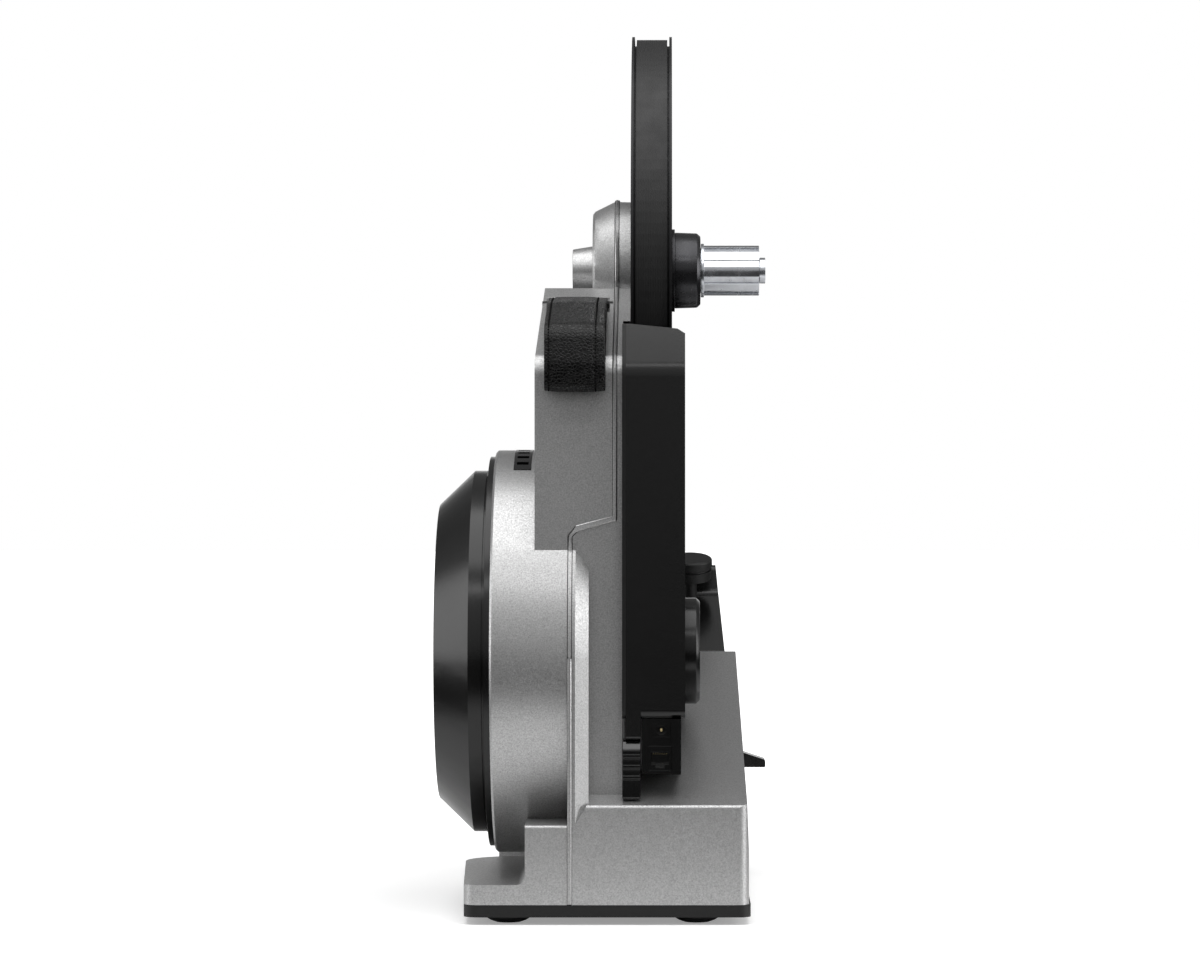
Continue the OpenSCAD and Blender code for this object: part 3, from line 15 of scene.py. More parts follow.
import bpy
from bpy.types import Material, MeshPolygon, Node, NodeSocket, NodeTree, Object
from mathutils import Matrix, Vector

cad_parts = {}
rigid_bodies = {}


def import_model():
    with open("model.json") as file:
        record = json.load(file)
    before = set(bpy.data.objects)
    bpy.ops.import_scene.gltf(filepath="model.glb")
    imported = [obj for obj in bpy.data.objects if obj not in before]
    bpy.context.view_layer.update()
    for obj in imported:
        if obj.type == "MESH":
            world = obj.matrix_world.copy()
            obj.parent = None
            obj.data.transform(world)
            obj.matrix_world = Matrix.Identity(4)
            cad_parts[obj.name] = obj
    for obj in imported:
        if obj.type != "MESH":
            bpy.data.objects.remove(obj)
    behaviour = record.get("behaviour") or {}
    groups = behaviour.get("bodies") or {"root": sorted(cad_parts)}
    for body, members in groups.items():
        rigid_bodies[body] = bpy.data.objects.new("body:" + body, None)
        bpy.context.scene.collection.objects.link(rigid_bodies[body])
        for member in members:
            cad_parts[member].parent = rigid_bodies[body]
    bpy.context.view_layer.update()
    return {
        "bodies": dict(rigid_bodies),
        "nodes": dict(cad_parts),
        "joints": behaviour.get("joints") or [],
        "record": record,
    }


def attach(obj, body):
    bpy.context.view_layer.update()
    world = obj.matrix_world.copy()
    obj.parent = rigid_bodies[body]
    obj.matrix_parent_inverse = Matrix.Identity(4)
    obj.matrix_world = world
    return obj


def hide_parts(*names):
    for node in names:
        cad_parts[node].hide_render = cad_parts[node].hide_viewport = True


log = logging.getLogger("trainer")

Spot = tuple[float, float, float]
Pair = tuple[float, float]

MM = 0.001
HUB: Spot = (0.0, -0.0205, 0.4385)
FLYWHEEL_AXIS: Spot = (0.0, -0.0685, 0.1745)
# a wave texture of scale 1 repeats every 0.314 m
WAVE_LENGTH = 0.314
# most of a noise texture's values lie between these two
NOISE_SPAN: Pair = (0.3, 0.7)
# how a value eases in and out between two ends
SMOOTH = {"interpolation_type": "SMOOTHSTEP"}
# from this share of metal on, a finish is bare metal and keeps the shader's own IOR
BARE_METAL = 0.9
WHITE = (1.0, 1.0, 1.0, 1.0)


class Edge(Enum):
    """How far an edge is rounded, in metres."""

    CRISP = 0.00025
    FINE = 0.0005
    MOULDED = 0.0009
    CAST = 0.0014


# ---------------------------------------------------------------- shader helpers


def linear(colour: str) -> tuple[float, float, float, float]:
    """Turns an sRGB hex colour into the linear colour that a shader takes.

    Args:
        colour: Six hex digits.

    Returns:
        Red, green, blue and alpha, from 0 to 1.
    """
    parts = [int(colour[i : i + 2], 16) / 255 for i in (0, 2, 4)]
    red, green, blue = (c / 12.92 if c <= 0.04045 else ((c + 0.055) / 1.055) ** 2.4 for c in parts)
    return (red, green, blue, 1.0)


def add(
    tree: NodeTree, kind: str, inputs: dict[str | int, object] | list[object], **settings: str
) -> Node:
    """Adds a shader node with its constants, incoming links and settings.

    Args:
        tree: The node tree to add to.
        kind: The node's type, as its class is called after ShaderNode.
        inputs: By name or number, or in order from the first: a constant, a socket to join, or
            a node whose first output is joined.
        settings: Properties to set on the node.

    Returns:
        The new node.
    """
    made = tree.nodes.new(f"ShaderNode{kind}")
    for key, value in settings.items():
        setattr(made, key, value)
    for key, value in inputs.items() if isinstance(inputs, dict) else enumerate(inputs):
        source = value.outputs[0] if isinstance(value, Node) else value
        if isinstance(source, NodeSocket):
            tree.links.new(source, made.inputs[key])
        else:
            made.inputs[key].default_value = source
    return made


@dataclass(frozen=True)
class Finish:
    """A surface: the constants of its shader, and the pattern that a subclass adds."""

    name: str
    colour: str
    roughness: float = 0.5
    metallic: float = 0.0
    ior: float = 1.5

    def material(self) -> Material:
        """Builds the material, or returns the one already built under this name.

        Returns:
            The material.
        """
        known = bpy.data.materials.get(self.name)
        if known:
            return known
        made = bpy.data.materials.new(self.name)
        made.use_nodes = True
        tree = made.node_tree
        shader = tree.nodes["Principled BSDF"]
        shader.inputs["Base Color"].default_value = linear(self.colour)
        shader.inputs["Roughness"].default_value = self.roughness
        shader.inputs["Metallic"].default_value = self.metallic
        if self.metallic < BARE_METAL:
            shader.inputs["IOR"].default_value = self.ior
        self.pattern(tree, shader, add(tree, "TexCoord", []).outputs["Object"])
        return made

    def pattern(self, tree: NodeTree, shader: Node, place: NodeSocket) -> None:
        """Adds the pattern of the finish: a plain one has none.

        Args:
            tree: The node tree.
            shader: The principled shader.
            place: The coordinates to read.
        """

    def speckle(
        self,
        tree: NodeTree,
        place: NodeSocket | Node,
        size_mm: float,
        to: Pair,
        detail: float = 2.0,
    ) -> Node:
        """Adds noise of one grain size, spread between two values.

        Args:
            tree: The node tree.
            place: The coordinates to read.
            size_mm: Size of one grain in millimetres.
            to: Values at the darkest and at the brightest grain.
            detail: How many finer layers lie in the noise.

        Returns:
            The node that gives the value.
        """
        scale = 1 / (size_mm * MM)
        noise = add(
            tree,
            "TexNoise",
            {"Vector": place, "Scale": scale, "Detail": detail, "Roughness": 0.6},
        )
        return add(tree, "MapRange", [noise, *NOISE_SPAN, *to])

    def vary(
        self,
        tree: NodeTree,
        shader: Node,
        place: NodeSocket | Node,
        size_mm: float,
        about: Pair,
        detail: float = 2.0,
    ) -> None:
        """Lets the roughness wander round its own value.

        Args:
            tree: The node tree.
            shader: The principled shader.
            place: The coordinates to read.
            size_mm: Size of one patch in millimetres.
            about: How far the roughness falls and rises.
            detail: How many finer layers lie in the patches.
        """
        span = (self.roughness + about[0], self.roughness + about[1])
        patches = self.speckle(tree, place, size_mm, span, detail)
        tree.links.new(patches.outputs[0], shader.inputs["Roughness"])

    def tint(self, tree: NodeTree, shader: Node, factor: NodeSocket | Node, other: str) -> None:
        """Lets a second colour show in the base colour.

        Args:
            tree: The node tree.
            shader: The principled shader.
            factor: Where the second colour shows.
            other: The second colour.
        """
        colours = {0: factor, 6: linear(self.colour), 7: linear(other)}
        mixed = add(tree, "Mix", colours, data_type="RGBA")
        tree.links.new(mixed.outputs[2], shader.inputs["Base Color"])

    def relief(
        self,
        tree: NodeTree,
        shader: Node,
        height: NodeSocket | Node,
        depth_mm: float,
        share: float = 1.0,
    ) -> None:
        """Raises the surface by a height pattern.

        Args:
            tree: The node tree.
            shader: The principled shader.
            height: The pattern, from 0 to 1.
            depth_mm: Its depth in millimetres.
            share: Share of the relief that shows.
        """
        heights = {"Height": height, "Distance": depth_mm * MM, "Strength": share}
        tree.links.new(add(tree, "Bump", heights).outputs["Normal"], shader.inputs["Normal"])


@dataclass(frozen=True)
class CastPaint(Finish):
    """Metallic paint over die-cast aluminium: flakes that sparkle, and a slightly rough skin."""

    flake: str = "969696"
    # coarser than real flakes, so that they show
    flake_mm: float = 0.9
    skin_mm: float = 0.05

    def pattern(self, tree: NodeTree, shader: Node, place: NodeSocket) -> None:
        """Adds flakes in the colour and the roughness, and the cast skin as relief.

        Args:
            tree: The node tree.
            shader: The principled shader.
            place: The coordinates to read.
        """
        flakes = self.speckle(tree, place, self.flake_mm, (0.0, 1.0), 3.0)
        self.tint(tree, shader, flakes, self.flake)
        self.vary(tree, shader, place, self.flake_mm * 2, (-0.07, 0.08))
        self.relief(tree, shader, flakes, self.skin_mm, 0.5)


@dataclass(frozen=True)
class Moulded(Finish):
    """Injection-moulded plastic with a spark-eroded grain: dull, with a soft sheen."""

    # coarser than a real mould grain of about 0.2 mm, so that it shows
    grain_mm: float = 0.9
    depth_mm: float = 0.04
    # handling marks a few fingers wide, and dust in specks
    handled_mm: float = 38.0
    dust_mm: float = 3.0
    worn: str = "121212"

    def pattern(self, tree: NodeTree, shader: Node, place: NodeSocket) -> None:
        """Adds the mould grain, faint handling marks and a little dust in the colour.

        Args:
            tree: The node tree.
            shader: The principled shader.
            place: The coordinates to read.
        """
        grain = self.speckle(tree, place, self.grain_mm, (0.0, 1.0))
        self.vary(tree, shader, place, self.handled_mm, (-0.015, 0.025))
        dust = self.speckle(tree, place, self.dust_mm, (0.0, 0.35), 4.0)
        self.tint(tree, shader, dust, self.worn)
        self.relief(tree, shader, grain, self.depth_mm, 0.4)


@dataclass(frozen=True)
class Turned(Finish):
    """Metal turned on a lathe: fine rings round its axis catch the light."""

    centre: Spot = HUB
    # coarser than a real tool feed of about 0.2 mm, so that the rings show
    pitch_mm: float = 0.9
    depth_mm: float = 0.02
    smear_mm: float = 9.0
    groove: str = "6f6f70"

    def pattern(self, tree: NodeTree, shader: Node, place: NodeSocket) -> None:
        """Adds tool rings about the X axis through the centre, and light smears.

        Args:
            tree: The node tree.
            shader: The principled shader.
            place: The coordinates to read.
        """
        to_centre = tuple(-c for c in self.centre)
        centred = add(tree, "Mapping", {"Vector": place, "Location": to_centre})
        scale = WAVE_LENGTH / (self.pitch_mm * MM)
        rings = add(
            tree,
            "TexWave",
            {"Vector": centred, "Scale": scale, "Distortion": 0.6, "Detail": 2.0},
            wave_type="RINGS",
            rings_direction="X",
        ).outputs["Fac"]
        self.tint(tree, shader, add(tree, "MapRange", {0: rings, "To Max": 0.5}), self.groove)
        self.vary(tree, shader, place, self.smear_mm, (-0.06, 0.08), 4.0)
        self.relief(tree, shader, rings, self.depth_mm, 0.5)


@dataclass(frozen=True)
class Brushed(Finish):
    """Drawn or brushed steel: long fine scratches along X."""

    # coarser than real scratches, which are finer than 0.1 mm, so that they show
    scratch_mm: float = 0.7
    depth_mm: float = 0.015
    smear_mm: float = 2.0
    # along X, a scratch is twenty times as long as it is wide
    stretch: Spot = (0.05, 1.0, 1.0)
    scratch: str = "7c7c7d"

    def pattern(self, tree: NodeTree, shader: Node, place: NodeSocket) -> None:
        """Adds stretched noise to the colour, the roughness and the relief.

        Args:
            tree: The node tree.
            shader: The principled shader.
            place: The coordinates to read.
        """
        stretched = add(tree, "Mapping", {"Vector": place, "Scale": self.stretch})
        lines = self.speckle(tree, stretched, self.scratch_mm, (0.0, 0.6), 3.0)
        self.tint(tree, shader, lines, self.scratch)
        self.vary(tree, shader, stretched, self.smear_mm, (-0.05, 0.1))
        self.relief(tree, shader, lines, self.depth_mm, 0.4)


@dataclass(frozen=True)
class BeltRubber(Finish):
    """Chloroprene belt: a dull back with fabric lines along the run, greyed by dust."""

    # distance of the fabric's lines, and dust and wear in patches
    cord_mm: float = 1.6
    depth_mm: float = 0.12
    dust_mm: float = 2.2
    worn_mm: float = 14.0
    dusty: str = "101010"

    def pattern(self, tree: NodeTree, shader: Node, place: NodeSocket) -> None:
        """Adds the lines of the cords across X, and dust in patches.

        Args:
            tree: The node tree.
            shader: The principled shader.
            place: The coordinates to read.
        """
        scale = WAVE_LENGTH / (self.cord_mm * MM)
        cords = add(
            tree,
            "TexWave",
            {"Vector": place, "Scale": scale, "Distortion": 0.8, "Detail Scale": 3.0},
            wave_type="BANDS",
            bands_direction="X",
        )
        dust = self.speckle(tree, place, self.dust_mm, (0.0, 0.7), 5.0)
        self.tint(tree, shader, dust, self.dusty)
        self.vary(tree, shader, place, self.worn_mm, (-0.06, 0.06))
        self.relief(tree, shader, cords.outputs["Fac"], self.depth_mm, 0.5)


@dataclass(frozen=True)
class GrainLeather(Finish):
    """Embossed black leather: pebbles of about 2 mm with shiny tops and dull creases."""

    # a little coarser than the real grain, so that the pebbles show
    pebble_mm: float = 2.1
    depth_mm: float = 0.3
    # the outlines of the pebbles wander by about 1 mm over 2.4 mm
    wander: Spot = (0.0011, 0.0011, 0.0011)
    wander_mm: float = 1000 / 420
    # painted shade: the darker colour of the creases between pebbles
    crease_shade: str = "020202"

    def pattern(self, tree: NodeTree, shader: Node, place: NodeSocket) -> None:
        """Adds pebbles with dull creases between them, darkened with painted shade.

        Args:
            tree: The node tree.
            shader: The principled shader.
            place: The coordinates to read.
        """
        scale = 1 / (self.wander_mm * MM)
        bent = add(tree, "TexNoise", {"Vector": place, "Scale": scale, "Detail": 2.0})
        shifted = add(
            tree,
            "VectorMath",
            [bent.outputs["Color"], self.wander, place],
            operation="MULTIPLY_ADD",
        )
        cells = add(
            tree,
            "TexVoronoi",
            {"Vector": shifted, "Scale": 1 / (self.pebble_mm * MM)},
            feature="DISTANCE_TO_EDGE",
        )
        tops = add(tree, "MapRange", [cells, 0.0, 0.22], **SMOOTH)
        # painted shade: the creases darken towards the shade colour, the tops keep the leather's
        # colour
        self.tint(tree, shader, add(tree, "MapRange", [tops, 0.0, 1.0, 0.8, 0.0]), self.crease_shade)
        gloss = [tops, 0.0, 1.0, self.roughness + 0.2, self.roughness - 0.04]
        tree.links.new(add(tree, "MapRange", gloss).outputs[0], shader.inputs["Roughness"])
        self.relief(tree, shader, tops, self.depth_mm, 0.7)


@dataclass(frozen=True)
class CoilWire(Finish):
    """Enamelled copper wire wound round X: even turns with a varnish gloss."""

    wire_mm: float = 1.2
    depth_mm: float = 0.3
    # painted shade: the colour of the low ground between turns of wire
    turn_shade: str = "3a1c0e"

    def pattern(self, tree: NodeTree, shader: Node, place: NodeSocket) -> None:
        """Adds one band for each turn of wire, with painted shade between the turns.

        Args:
            tree: The node tree.
            shader: The principled shader.
            place: The coordinates to read.
        """
        turns = add(
            tree,
            "TexWave",
            {"Vector": place, "Scale": WAVE_LENGTH / (self.wire_mm * MM)},
            wave_type="BANDS",
            bands_direction="X",
        ).outputs["Fac"]
        # painted shade: the low ground between turns darkens towards the shade colour
        self.tint(tree, shader, add(tree, "MapRange", [turns, 0.0, 1.0, 0.8, 0.0]), self.turn_shade)
        self.relief(tree, shader, turns, self.depth_mm)


@dataclass(frozen=True)
class Laminate(Finish):
    """Green solder mask over a woven board: faint tracks under gloss."""

    # distance of the tracks: real ones are finer and wouldn't show
    cell_mm: float = 6.25
    depth_mm: float = 0.05
    track: str = "2c6a43"

    def pattern(self, tree: NodeTree, shader: Node, place: NodeSocket) -> None:
        """Adds square tracks a few millimetres apart.

        Args:
            tree: The node tree.
            shader: The principled shader.
            place: The coordinates to read.
        """
        tracks = add(
            tree,
            "TexVoronoi",
            {"Vector": place, "Scale": 1 / (self.cell_mm * MM), "Randomness": 0.6},
            distance="CHEBYCHEV",
            feature="F1",
        )
        share = add(tree, "MapRange", [tracks, 0.35, 0.5])
        self.tint(tree, shader, share, self.track)
        self.relief(tree, shader, share, self.depth_mm, 0.5)


# metallic paint on die-cast aluminium: neutral silver-grey, satin, with a fine sparkle
CASTING = CastPaint("metallic_paint_on_casting", "bebebe", roughness=0.37, metallic=0.84)
# painted shade of the slit beside the seam's bead: a thin, dull, dark line
SEAM_SHADE = Moulded("painted_seam_shade", "0a0a0a", roughness=0.8)
# moulded ABS: near black with a soft sheen
ABS = Moulded("moulded_abs_black", "090909", roughness=0.2, ior=1.43)
# glass-filled nylon: black, duller and coarser
NYLON = Moulded(
    "glass_filled_nylon", "080808", roughness=0.5, ior=1.4, grain_mm=1.2, depth_mm=0.06
)
# polished polycarbonate: deep black gloss round the ports
GLOSS = Moulded(
    "gloss_polycarbonate", "050505", roughness=0.13, ior=1.55, depth_mm=0.006, worn="0b0b0b"
)
# hard-anodised aluminium disc: charcoal with tool rings
DISC = Turned("anodised_disc", "161617", roughness=0.4, metallic=0.6, groove="222224")
# black anodised collar: satin, with one soft highlight along its top
COLLAR = Turned(
    "black_anodised_collar",
    "38383a",
    roughness=0.27,
    metallic=0.85,
    groove="464648",
    pitch_mm=0.7,
)
# machined aluminium of the splined body: bright, fine rings
ALUMINIUM = Turned(
    "machined_aluminium",
    "d3d5d9",
    roughness=0.22,
    metallic=1.0,
    groove="b4b8be",
    pitch_mm=0.8,
    depth_mm=0.003,
)
# ground bearing steel: a bright ring with soft, even rings of its own
STEEL_RING = Turned("ground_steel_ring", "b9bbbe", roughness=0.3, metallic=1.0)
# turned steel of the flywheel and its shaft: mid grey, coarse tool rings that flash
FLY_STEEL = Turned(
    "turned_flywheel_steel",
    "9c9c9e",
    roughness=0.33,
    metallic=1.0,
    centre=FLYWHEEL_AXIS,
    pitch_mm=1.5,
)
# drawn steel of pins and arms: pale grey with long fine scratches
STEEL = Brushed("drawn_steel", "a9aaac", roughness=0.32, metallic=1.0)
# blackened steel of the screws: charcoal and dull, so the heads sink into the black covers
SCREW = Brushed("blackened_steel", "2c2c2e", roughness=0.42, metallic=0.85, scratch="1c1c1e")
# sintered bronze of the bushes: matt brown-gold
BRONZE = Brushed("sintered_bronze", "a5824f", roughness=0.42, metallic=1.0, scratch="6e5532")
# synthetic rubber of feet and pads: black without gloss, a coarse grain, grey with dust
RUBBER = Moulded(
    "moulded_rubber", "0d0d0d", roughness=0.7, grain_mm=1.4, depth_mm=0.08, worn="1c1c1c"
)
# chloroprene of the belt's back: dull black with fine lines along the run
BELT = BeltRubber("chloroprene_belt", "09090a", roughness=0.54, ior=1.41)
# embossed cowhide of the strap: black pebbles whose tops shine
LEATHER = GrainLeather("embossed_leather", "050505", roughness=0.28, ior=1.34)
# waxed thread of the strap's seams: black dots, duller than the leather
THREAD = Brushed(
    "waxed_thread", "030303", roughness=0.7, ior=1.2, scratch="060606", scratch_mm=0.5
)
# enamelled copper of the brake's coils: red-brown turns under varnish
COPPER = CoilWire("enamelled_copper", "a5552a", roughness=0.3, metallic=0.8)
# solder mask of the control board: glossy green with faint tracks
BOARD = Laminate("solder_mask", "14502c", roughness=0.28)
# gilding on spring contacts and on the supply pin: a small warm glint in the black recess
GILT = Brushed("gilded_contact", "d8c79a", roughness=0.25, metallic=1.0, scratch="a08a58")


# ---------------------------------------------------------------- modelling helpers


def select_only(piece: Object | None) -> None:
    """Deselects everything, then selects one piece, if there is one, and makes it active.

    Args:
        piece: The object to select, or none.
    """
    for other in bpy.context.view_layer.objects:
        other.select_set(False)
    if piece:
        piece.select_set(True)
        bpy.context.view_layer.objects.active = piece


def apply_all(piece: Object) -> None:
    """Applies every modifier of a piece, in order.

    Args:
        piece: The mesh object.
    """
    select_only(piece)
    for modifier in list(piece.modifiers):
        bpy.ops.object.modifier_apply(modifier=modifier.name)


def smooth(piece: Object, degrees: float) -> None:
    """Smooths the piece's shading across shallow edges.

    Args:
        piece: The mesh object.
        degrees: Edges under this angle turn smooth.
    """
    select_only(piece)
    bpy.ops.object.shade_smooth_by_angle(angle=math.radians(degrees))


def settle(piece: Object) -> None:
    """Moves a piece's place, turn and size into its mesh.

    Args:
        piece: The mesh object.
    """
    select_only(piece)
    bpy.ops.object.transform_apply(location=True, rotation=True, scale=True)


def finish_piece(piece: Object, name: str, body: str, finish: Finish) -> None:
    """Names a piece, dresses it and lets it ride on its body.

    Args:
        piece: The finished mesh object.
        name: Its name.
        body: The body that it moves with.
        finish: Its surface.
    """
    piece.name = name
    piece.data.name = name
    if len(piece.data.materials) == 0:
        piece.data.materials.append(finish.material())
    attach(piece, body)
    log.info("piece %s on %s: %d faces", name, body, len(piece.data.polygons))


def pick_faces(piece: Object, wanted: Callable[[MeshPolygon], bool]) -> int:
    """Selects the faces that pass a test, and enters edit mode.

    Args:
        piece: The mesh object.
        wanted: The test, given one face.

    Returns:
        How many faces are selected.
    """
    select_only(piece)
    bpy.context.tool_settings.mesh_select_mode = (False, False, True)
    bpy.ops.object.mode_set(mode="EDIT")
    bpy.ops.mesh.select_all(action="DESELECT")
    bpy.ops.object.mode_set(mode="OBJECT")
    for face in piece.data.polygons:
        face.select = wanted(face)
    count = sum(face.select for face in piece.data.polygons)
    bpy.ops.object.mode_set(mode="EDIT")
    return count


def join(pieces: list[Object]) -> Object:
    """Joins several mesh objects into the first one.

    Args:
        pieces: The objects, each with its own mesh.

    Returns:
        The joined object.
    """
    select_only(pieces[0])
    for piece in pieces:
        piece.select_set(True)
    bpy.ops.object.join()
    return pieces[0]


@dataclass
class Solid:
    """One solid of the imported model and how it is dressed."""

    node: str
    finish: Finish
    edge: Edge | None = None


@dataclass
class Assembly:
    """A sub-assembly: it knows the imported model, and dresses the solids in its list."""

    frame: dict[str, object]
    body: dict[str, str] = field(init=False)
    slot: dict[str, str] = field(init=False)
    solids: tuple[Solid, ...] = ()
    # clean-up of a copied solid: points closer than this merge, flatter faces join
    merge_distance: float = 2e-6
    flat_degrees: float = 0.4
    sharp_degrees: float = 24.0
    smooth_degrees: float = 36.0

    def __post_init__(self) -> None:
        """Looks up each node's body and slot in the frame's record."""
        record = self.frame["record"]
        bodies = record["behaviour"]["bodies"]
        self.body = {node: body for body, nodes in bodies.items() for node in nodes}
        self.slot = {part["node"]: part["material_slot"] for part in record["subparts"]}

    def build(self) -> None:
        """Dresses the solids, then models what they lack."""
        for solid in self.solids:
            self.dress(solid)
        self.model()

    def model(self) -> None:
        """Models the extra pieces: a plain sub-assembly has none."""

    def dress(self, solid: Solid) -> None:
        """Gives a solid its finish, and rounds its edges where it has an edge size.

        Args:
            solid: The solid and its finish.
        """
        source = self.frame["nodes"][solid.node]
        if solid.edge is None:
            source.data.materials.clear()
            source.data.materials.append(solid.finish.material())
            return
        piece = self.rounded_copy(solid)
        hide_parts(solid.node)
        finish_piece(
            piece, f"{solid.node}_body", self.body[solid.node], solid.finish
        )

    def keeps_sharp(self, spots: list[Vector]) -> bool:
        """Says whether an edge with these ends stays sharp: none does on a plain sub-assembly."""
        return False

    def carve(self, piece: Object, solid: Solid) -> None:
        """Adds shape to a rounded copy: a plain sub-assembly adds none."""

    def rounded_copy(self, solid: Solid) -> Object:
        """Copies a solid's mesh, merges its flat faces and bevels its sharp edges.

        Args:
            solid: The solid to copy.

        Returns:
            The new mesh object.
        """
        source = self.frame["nodes"][solid.node]
        piece = bpy.data.objects.new(f"{solid.node}_body", source.data.copy())
        bpy.context.scene.collection.objects.link(piece)
        piece.data.materials.clear()
        piece.data.materials.append(solid.finish.material())
        select_only(piece)
        bpy.ops.object.mode_set(mode="EDIT")
        bpy.ops.mesh.select_all(action="SELECT")
        bpy.ops.mesh.customdata_custom_splitnormals_clear()
        bpy.ops.mesh.remove_doubles(threshold=self.merge_distance)
        bpy.ops.mesh.dissolve_limited(angle_limit=math.radians(self.flat_degrees), delimit=set())
        bpy.context.tool_settings.mesh_select_mode = (False, True, False)
        bpy.ops.mesh.select_all(action="DESELECT")
        bpy.ops.mesh.edges_select_sharp(sharpness=math.radians(self.sharp_degrees))
        bpy.ops.object.mode_set(mode="OBJECT")
        for edge in piece.data.edges:
            if edge.select and self.keeps_sharp([piece.data.vertices[i].co for i in edge.vertices]):
                edge.select = False
        bpy.ops.object.mode_set(mode="EDIT")
        bpy.ops.transform.edge_bevelweight(value=1.0)
        bpy.ops.object.mode_set(mode="OBJECT")
        bevel = piece.modifiers.new("edges", "BEVEL")
        bevel.width = solid.edge.value
        bevel.segments = 2
        bevel.limit_method = "WEIGHT"
        bevel.use_clamp_overlap = True
        bevel.loop_slide = True
        bevel.miter_outer = "MITER_ARC"
        apply_all(piece)
        self.carve(piece, solid)
        smooth(piece, self.smooth_degrees)
        # weighted normals come last: they keep the flat faces flat beside the rounded edges
        weighted = piece.modifiers.new("shading", "WEIGHTED_NORMAL")
        weighted.keep_sharp = True
        apply_all(piece)
        return piece


@dataclass
class Castings(Assembly):
    """The two painted castings of the tower and base, the leg carrier and the floor pan."""

    solids: tuple[Solid, ...] = (
        Solid("left_shell", CASTING, Edge.CAST),
        Solid("right_shell", CASTING, Edge.CAST),
        Solid("leg_carrier", CASTING, Edge.CAST),
        Solid("base_plate", NYLON, Edge.MOULDED),
        Solid("base_feet", RUBBER, Edge.MOULDED),
        Solid("drum_vent", ABS, Edge.CRISP),
        Solid("base_plate_screws", SCREW),
        Solid("carrier_screws", SCREW),
    )
    # the seam's course seen from the front, as X and Z, and the band that belongs to it
    seam_line: tuple[Pair, ...] = (
        (-0.02245, 0.0),
        (-0.02245, 0.2555),
        (-0.0181, 0.26035),
        (0.00705, 0.267),
        (0.00705, 0.5),
    )
    seam_reach: float = 0.002
    # width of the band of painted shade round the bead, then the width and rise of the bead's
    # sloped lips
    seam_gap: float = 0.00045
    lip_slope: float = 0.0006
    lip_rise: float = 0.0005
    # above this height the seam shows all round the tower, below it only at the front
    round_height: float = 0.2
    # a face of the bead looks out by more than the first share, and sideways by less than
    # the second
    bead_facing: Pair = (0.3, 0.4)

    def keeps_sharp(self, spots: list[Vector]) -> bool:
        """Says whether an edge runs along the seam, whose bead is shaped by itself."""
        return all(self.on_seam(spot) for spot in spots)

    def on_seam(self, spot: Vector) -> bool:
        """Says whether a point lies in the band of the seam, seen from the front.

        Args:
            spot: The point.

        Returns:
            Whether the point is close to the seam's course.
        """
        here = Vector((spot.x, spot.z))
        for start, end in zip(self.seam_line, self.seam_line[1:]):
            first, along = Vector(start), Vector(end) - Vector(start)
            share = max(0.0, min(1.0, (here - first).dot(along) / along.length_squared))
            if (here - first - along * share).length < self.seam_reach:
                return True
        return False

    def carve(self, piece: Object, solid: Solid) -> None:
        """Paints shade into a thin band round the bead of the seam and raises the bead's sloped
        lips.

        Args:
            piece: The rounded casting.
            solid: Which casting it is: only the right one carries the bead.
        """
        if solid.node != "right_shell":
            return
        # a second, dark material is the painted shade round the bead
        piece.data.materials.append(SEAM_SHADE.material())
        points = piece.data.vertices

        def on_bead(face: MeshPolygon) -> bool:
            """Tells the bead's outer faces from the rest.

            Args:
                face: A face of the casting.

            Returns:
                Whether it lies on the bead and looks outwards or up.
            """
            out, side = self.bead_facing
            turned_out = face.normal.y < -out or face.normal.z > out
            outward = turned_out or face.center.z > self.round_height
            crosswise = abs(face.normal.x) < side
            return outward and crosswise and all(self.on_seam(points[i].co) for i in face.vertices)

        count = pick_faces(piece, on_bead)
        bpy.ops.mesh.quads_convert_to_tris(quad_method="BEAUTY", ngon_method="BEAUTY")
        # the bead's faces take the painted shade; after the inset only their outer band keeps it
        piece.active_material_index = 1
        bpy.ops.object.material_slot_assign()
        bpy.ops.mesh.inset(thickness=self.seam_gap, depth=0.0, use_even_offset=False)
        piece.active_material_index = 0
        bpy.ops.object.material_slot_assign()
        bpy.ops.mesh.inset(thickness=self.lip_slope, depth=self.lip_rise, use_even_offset=False)
        bpy.ops.object.mode_set(mode="OBJECT")
        log.info("seam bead: %d faces raised", count)


@dataclass
class FlywheelSide(Assembly):
    """The flywheel, its brake and the dished cover over them."""

    solids: tuple[Solid, ...] = (
        Solid("flywheel_cover", ABS, Edge.FINE),
        Solid("cover_flange_ring", ABS, Edge.FINE),
        Solid("flywheel", FLY_STEEL, Edge.FINE),
        Solid("flywheel_shaft", FLY_STEEL),
        Solid("shaft_bearings", STEEL_RING),
        Solid("brake_stator", COPPER),
        Solid("speed_sensor", NYLON),
        Solid("flywheel_cover_screws", SCREW, Edge.CRISP),
    )


@dataclass
class BeltSide(Assembly):
    """The belt, its pulleys, the idler and the cover over them."""

    solids: tuple[Solid, ...] = (
        Solid("belt_cover", ABS, Edge.MOULDED),
        Solid("cover_backplate", NYLON, Edge.CRISP),
        Solid("pulley_cap", ABS, Edge.FINE),
        Solid("cover_screws", SCREW, Edge.CRISP),
        Solid("small_pulley", FLY_STEEL),
        Solid("tensioner_arm", STEEL, Edge.CRISP),
        Solid("tensioner_pin", STEEL),
        Solid("idler_roller", STEEL),
        Solid("drive_belt", BELT),
        Solid("big_pulley", DISC, Edge.CRISP),
        Solid("pulley_bearings", STEEL_RING),
    )


